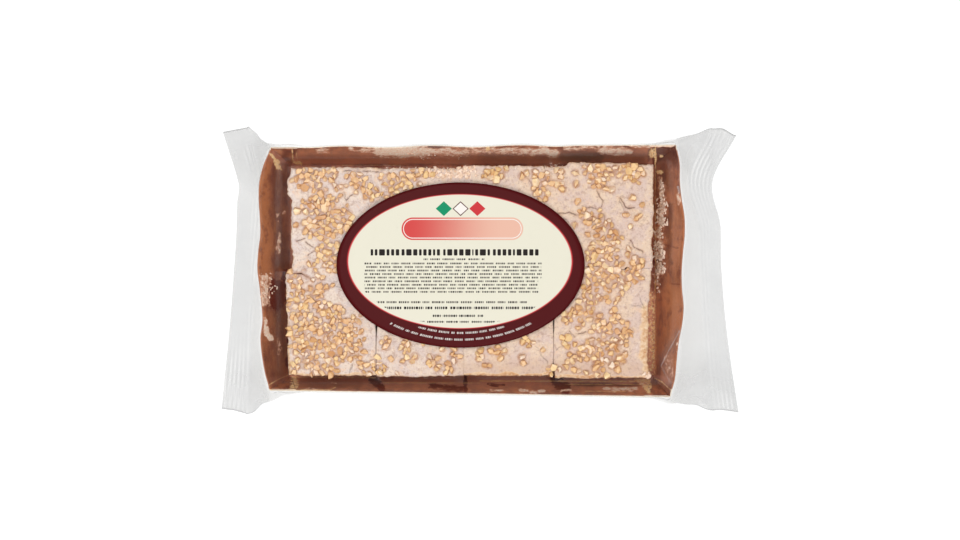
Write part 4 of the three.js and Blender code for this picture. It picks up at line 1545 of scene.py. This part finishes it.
def make_crumbs(draw, ground_trees, material):
    """Crumbs where they have fallen, leaning with the tray's walls or lying on the sugar."""
    kinds, corners, cuts, slant, perch = 6, 12, 1, 0.6, 0.25
    shapes = [
        chip_shape(draw, corners, (1, draw.uniform(0.5, 0.9), draw.uniform(0.25, 0.5)), cuts)
        for _ in range(kinds)
    ]
    places = []
    for cx, cy, half_x, half_y, count, longest in CRUMB_FALLS:
        for _ in range(count):
            x = (cx + half_x * np.clip(draw.normal() * 0.55, -1, 1)) * MM
            y = (cy + half_y * draw.uniform(-1, 1)) * MM
            hits = [tree.ray_cast(Vector((x, y, PACK_HIGH.z)), -UP) for tree in ground_trees]
            hits = [hit for hit in hits if hit[0] is not None]
            if not hits:
                continue
            spot, normal = max(hits, key=lambda hit: hit[0].z)[:2]
            half = draw.uniform(0.35, 1.0) * longest / 2 * MM
            lean = UP.rotation_difference((normal + 0.4 * UP).normalized()).to_matrix().to_4x4()
            turn = random_turn(draw, 0, 2 * math.pi, "Z") @ random_turn(draw, -slant, slant, "X")
            where = Matrix.Translation(spot + normal * perch * half)
            # crumbs on the tray get paler tints, painted light against the shade they lie in
            on_tray = spot.z < 0.7 * CAKE_TOP
            places.append({
                "shape": int(draw.integers(kinds)), "matrix": where @ lean @ turn @ Matrix.Scale(half, 4),
                "half": half, "tint": float(draw.uniform(0, 1)) * (0.2 if on_tray else 1), "dust": 0.0,
            })
    return scatter("crumbs", shapes, places, "pastry", material)


# The film.

def round_off(mesh, levels, rounds):
    """Subdivides a mesh smoothly while its own corners stay where they are."""
    target = read_points(mesh)
    cage = target.copy()
    shell = bpy.data.objects.new("shell", mesh)
    bpy.context.scene.collection.objects.link(shell)
    rounder = shell.modifiers.new("round", "SUBSURF")
    rounder.levels = levels
    rounder.render_levels = levels
    for step in range(rounds + 1):
        write_points(mesh, cage)
        shell.update_tag()
        bpy.context.view_layer.update()
        settled = shell.evaluated_get(bpy.context.evaluated_depsgraph_get())
        made = bpy.data.meshes.new_from_object(settled)
        if step < rounds:
            cage = cage + 0.9 * (target - read_points(made)[:len(target)])
            bpy.data.meshes.remove(made)
    bpy.data.objects.remove(shell)
    return made


def film_mesh():
    """The sealed tube, from a merged copy of its solid: rounded, with the rim and seals kept sharp."""
    mesh = frame["nodes"]["film_pack"].data.copy()
    mesh.materials.clear()
    sharp_fold, sharpness = math.radians(30), 0.8

    def make_quads(bm):
        merge_near(bm, 0.002 * MM)
        bmesh.ops.join_triangles(
            bm, faces=bm.faces, angle_face_threshold=math.pi, angle_shape_threshold=math.pi,
        )
        crease = bm.edges.layers.float.new("crease_edge")
        for edge in bm.edges:
            if len(edge.link_faces) == 2 and edge.calc_face_angle() > sharp_fold:
                edge[crease] = sharpness

    edit_mesh(mesh, make_quads)
    made = round_off(mesh, levels=2, rounds=3)
    made.name = "clear_film"
    return made


def push_off_tray(points, normals):
    """Moves the film's sides out to where they just clear the tray's walls."""
    furthest, flat, under = 4 * MM, 0.8, 0.4 * MM
    x, y, z = points.T.copy()
    rise = np.clip((z - FLOOR_Z) / (RIM_Z - FLOOR_Z), 0, 1)
    end, back = np.where(x > TRAY_X, 1, -1), y > TRAY_Y
    rim = np.abs(rim_y(back, x) - TRAY_Y)
    wall_y = BASE_HALF_WIDTH + (rim - BASE_HALF_WIDTH) * rise
    reach = np.abs(rim_x(end, (y - TRAY_Y) / wall_y) - TRAY_X)
    wall_x = BASE_HALF_LENGTH + (reach - BASE_HALF_LENGTH) * rise ** WALL_CURVE
    short_x = wall_x + BOARD + FILM_GAP - np.abs(x - TRAY_X)
    short_y = wall_y + BOARD + FILM_GAP + (SIDE_FILM_GAP - FILM_GAP) * rise - np.abs(y - TRAY_Y)
    inside = (short_x > 0) & (short_y > 0) & (np.abs(normals[:, 2]) < flat) & (z > under)
    at_end = inside & (short_x < short_y) & (short_x < furthest)
    at_side = inside & ~at_end & (short_y < furthest)
    x[at_end] += (end * short_x)[at_end]
    y[at_side] += (np.where(back, 1, -1) * short_y)[at_side]
    return stack(x, y, z)


# Places where the film is pulled out of true: x, y, reach, and shift along and across.
FILM_PULLS = (
    (139, 78, 8, 0, 2.3), (132, 78, 7, 0, 0.6), (119, 74, 11, 0, 1.6), (-108, 73, 11, 0, 1.2),
    (-118, 73, 6, 0, 1.0), (-129, -78, 9, -0.5, -3.6), (-136, -80, 6, 0, -0.8), (131, -79, 9, 0, -1.4),
    (118, -76, 8, 0, -0.8), (-120, -74, 8, 0, -2.4), (-108, -72, 8, 0, -0.8), (109, -74, 7, 0, -1.4),
    (108, 73, 13, 0, 0.9), (-131, 76, 6, 1.3, 0.5), (128, 78, 8, 0, 0.9),
)


def pull_film(points):
    """Pulls the film's outline out of true."""
    for x, y, reach, along, across in FILM_PULLS:
        away = np.hypot(points[:, 0] - x * MM, points[:, 1] - y * MM)
        share = fade_out(away, 0, reach * MM)
        points[:, 0] += share * along * MM
        points[:, 1] += share * across * MM
    return points


def add_wrinkles(points, normals):
    """Fine tension folds over the pack's shoulders, and small ripples beyond its ends."""
    fold_count, fold_height, ripple_height = 30, 0.03 * MM, 0.1 * MM
    x, y, _ = points.T
    beyond = np.abs(x - TRAY_X) - RIM_HALF_LENGTH
    shoulder = soft_step(beyond, 4 * MM, 10 * MM) * fade_out(beyond, 15 * MM, 22 * MM)
    fan = np.arctan2(y, np.abs(x - TRAY_X) - 60 * MM)
    folds = np.sin(fold_count * fan + 4 * rough_field(x, y, 30 * MM, 7)) * lattice_field(x, y, 18 * MM, 9)
    ripple = rough_field(x, y, 14 * MM, 12, 2)
    height = fold_height * shoulder * folds
    height = height + ripple_height * soft_step(beyond, 2 * MM, 8 * MM) * ripple
    return points + normals * height[:, None]


HAZE_ON_TRAY, HAZE_OFF_END, HAZE_OFF_SIDE, HAZE_AT_CORNER, FOLD_HIGHLIGHT = 0.008, 0.3, 0.18, 0.08, 0.07
# Where the film is drawn tight over the tray's front right corner, and carries a painted highlight.
TIGHT_FOLD = (113, -36, 106, -50, 107, -62)


def film_haze(x, y):
    """How milky the film looks: clear on the tray and cake, more so where it stands free, with a painted
    highlight on a fold.
    """
    rim = np.abs(rim_x(np.where(x > TRAY_X, 1, -1), y / RIM_BACK) - TRAY_X)
    off_end = soft_step(np.abs(x - TRAY_X) - rim - BOARD, 0.1 * MM, 1.6 * MM)
    beyond_side = np.where(y > 0, y - rim_y(True, x), rim_y(False, x) - y) - BOARD
    off_side = soft_step(beyond_side, -0.3 * MM, 0.8 * MM)
    free = np.maximum(off_end, off_side)
    corner = soft_step(np.abs(x - TRAY_X), 96 * MM, 116 * MM) * soft_step(np.abs(y), 42 * MM, 66 * MM)
    # painted highlight on the tight fold
    tight = near(chain_distance(x, y, TIGHT_FOLD), 0, 5 * MM)
    haze = np.maximum(HAZE_OFF_END * off_end, HAZE_OFF_SIDE * off_side) + HAZE_AT_CORNER * corner * free
    return HAZE_ON_TRAY + haze + FOLD_HIGHLIGHT * tight * (1 - free)


def press_seals(points):
    """Presses the ridges of each crimped seal flatter, towards a smooth sheet through the strip."""
    start, full, pressed, scale = 131 * MM, 135 * MM, 0.6, 100 * MM
    for end in (-1, 1):
        strip = end * points[:, 0] > start
        x, y = points[strip, 0] / scale, points[strip, 1] / scale
        terms = np.stack([x ** i * y ** j for i in range(4) for j in range(6)], axis=1)
        level = terms @ np.linalg.lstsq(terms, points[strip, 2], rcond=None)[0]
        share = 1 - pressed * soft_step(end * points[strip, 0], start, full)
        points[strip, 2] = level + (points[strip, 2] - level) * share
    return points


def make_film(material):
    """The film pack's tube, which takes the place of its solid."""
    mesh = film_mesh()
    points = pull_film(press_seals(push_off_tray(read_points(mesh), read_normals(mesh))))
    write_points(mesh, points)
    write_points(mesh, add_wrinkles(points, read_normals(mesh)))
    x, y, _ = read_points(mesh).T
    set_values(mesh, "haze", film_haze(x, y))
    film = make_piece(mesh, "film", material)
    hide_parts("film_pack")
    return film


def make_label(film_tree):
    """The paper oval, laid on the film and bent as it bends."""
    middle = (LABEL_LOW + LABEL_HIGH) / 2
    half = (LABEL_HIGH - LABEL_LOW) / 2
    above, off_film, wave, paper = 50 * MM, 0.08 * MM, 0.1 * MM, 0.12 * MM

    def place(u, v):
        angle = 2 * math.pi * u
        x = middle.x + half.x * v * np.cos(angle)
        y = middle.y + half.y * v * np.sin(angle)
        z = np.full(len(x), LABEL_LOW.z)
        for k in range(len(x)):
            film = film_tree.ray_cast(Vector((x[k], y[k], above)), -UP)[0]
            z[k] = max(film.z + off_film, LABEL_LOW.z)
        return stack(x, y, z + wave * rough_field(x, y, 30 * MM, 4, 2))

    def close(bm):
        merge_near(bm)
        face_outwards(bm)
        if sum(face.normal.z for face in bm.faces) < 0:
            bmesh.ops.reverse_faces(bm, faces=bm.faces)

    mesh = grid_mesh("oval_label", 144, 26, place)
    edit_mesh(mesh, close)
    label = make_piece(mesh, "label", label_material(middle))
    thicken(label, "paper", paper, 1)
    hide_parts("label")
    return label


# The stage.

# Lamps: name, place, size and watts.
LAMPS = (("key", (-0.42, 0.3, 1.42), 0.8, 9.6), ("fill", (0.35, -0.8, 1.25), 0.9, 9))
WORLD_STRENGTH = 0.5
CAMERA_PLACE = (0, -0.3 * MM, 1.234)
CAMERA_LENS, CAMERA_SENSOR = 79.5, 36
FLOOR_WIDTH, FLOOR_DROP, FLOOR_GREY = 6, 0.2 * MM, 0.1


def make_floor():
    """A pale floor that glows, so that it is evenly white."""
    def place(u, v):
        return stack((u - 0.5) * FLOOR_WIDTH, (v - 0.5) * FLOOR_WIDTH, -FLOOR_DROP)

    mesh = grid_mesh("floor", 2, 2, place)
    material, _, shader = new_material("pale_floor", roughness=0.9, emission_strength=1.0)
    shader.inputs["Base Color"].default_value = (FLOOR_GREY, FLOOR_GREY, FLOOR_GREY, 1)
    shader.inputs["Emission Color"].default_value = (1, 1, 1, 1)
    mesh.materials.append(material)
    floor = bpy.data.objects.new("floor", mesh)
    bpy.context.scene.collection.objects.link(floor)


def make_lamp(name, place, size, watts):
    """A round lamp that shines at the pack."""
    lamp = bpy.data.lights.new(name, "AREA")
    lamp.shape = "DISK"
    lamp.size = size
    lamp.energy = watts
    light = bpy.data.objects.new(name, lamp)
    light.location = place
    light.rotation_mode = "QUATERNION"
    light.rotation_quaternion = (-Vector(place)).to_track_quat("-Z", "Y")
    bpy.context.scene.collection.objects.link(light)


def make_stage():
    """A white studio with two lamps, and a camera that looks straight down."""
    scene = bpy.context.scene
    world = bpy.data.worlds.new("studio")
    world.use_nodes = True
    background = world.node_tree.nodes["Background"]
    background.inputs["Color"].default_value = (1, 1, 1, 1)
    background.inputs["Strength"].default_value = WORLD_STRENGTH
    scene.world = world
    scene.view_settings.view_transform = "Standard"
    for lamp in LAMPS:
        make_lamp(*lamp)
    camera = bpy.data.cameras.new("camera")
    camera.lens = CAMERA_LENS
    camera.sensor_width = CAMERA_SENSOR
    eye = bpy.data.objects.new("camera", camera)
    eye.location = CAMERA_PLACE
    scene.collection.objects.link(eye)
    scene.camera = eye


def main():
    make_stage()
    make_floor()
    inside, outside = tray_inside_material(), tray_outside_material()
    tray = make_tray(inside, outside)
    make_gussets(inside, outside)
    film = make_film(film_material())
    film_tree = search_tree(film)
    make_label(film_tree)
    nuts = place_nuts(np.random.default_rng(SEED))
    sugar = sugar_material()
    layers = layer_materials()
    ground = [search_tree(tray)]
    for portion in portions():
        make_stack(portion, layers)
        ground.append(search_tree(make_crust(portion, nuts, sugar)))
    draw = np.random.default_rng(SEED + 1)
    make_nuts(draw, nuts, film_tree, nut_material())
    make_crumbs(draw, ground, flake_material())


main()
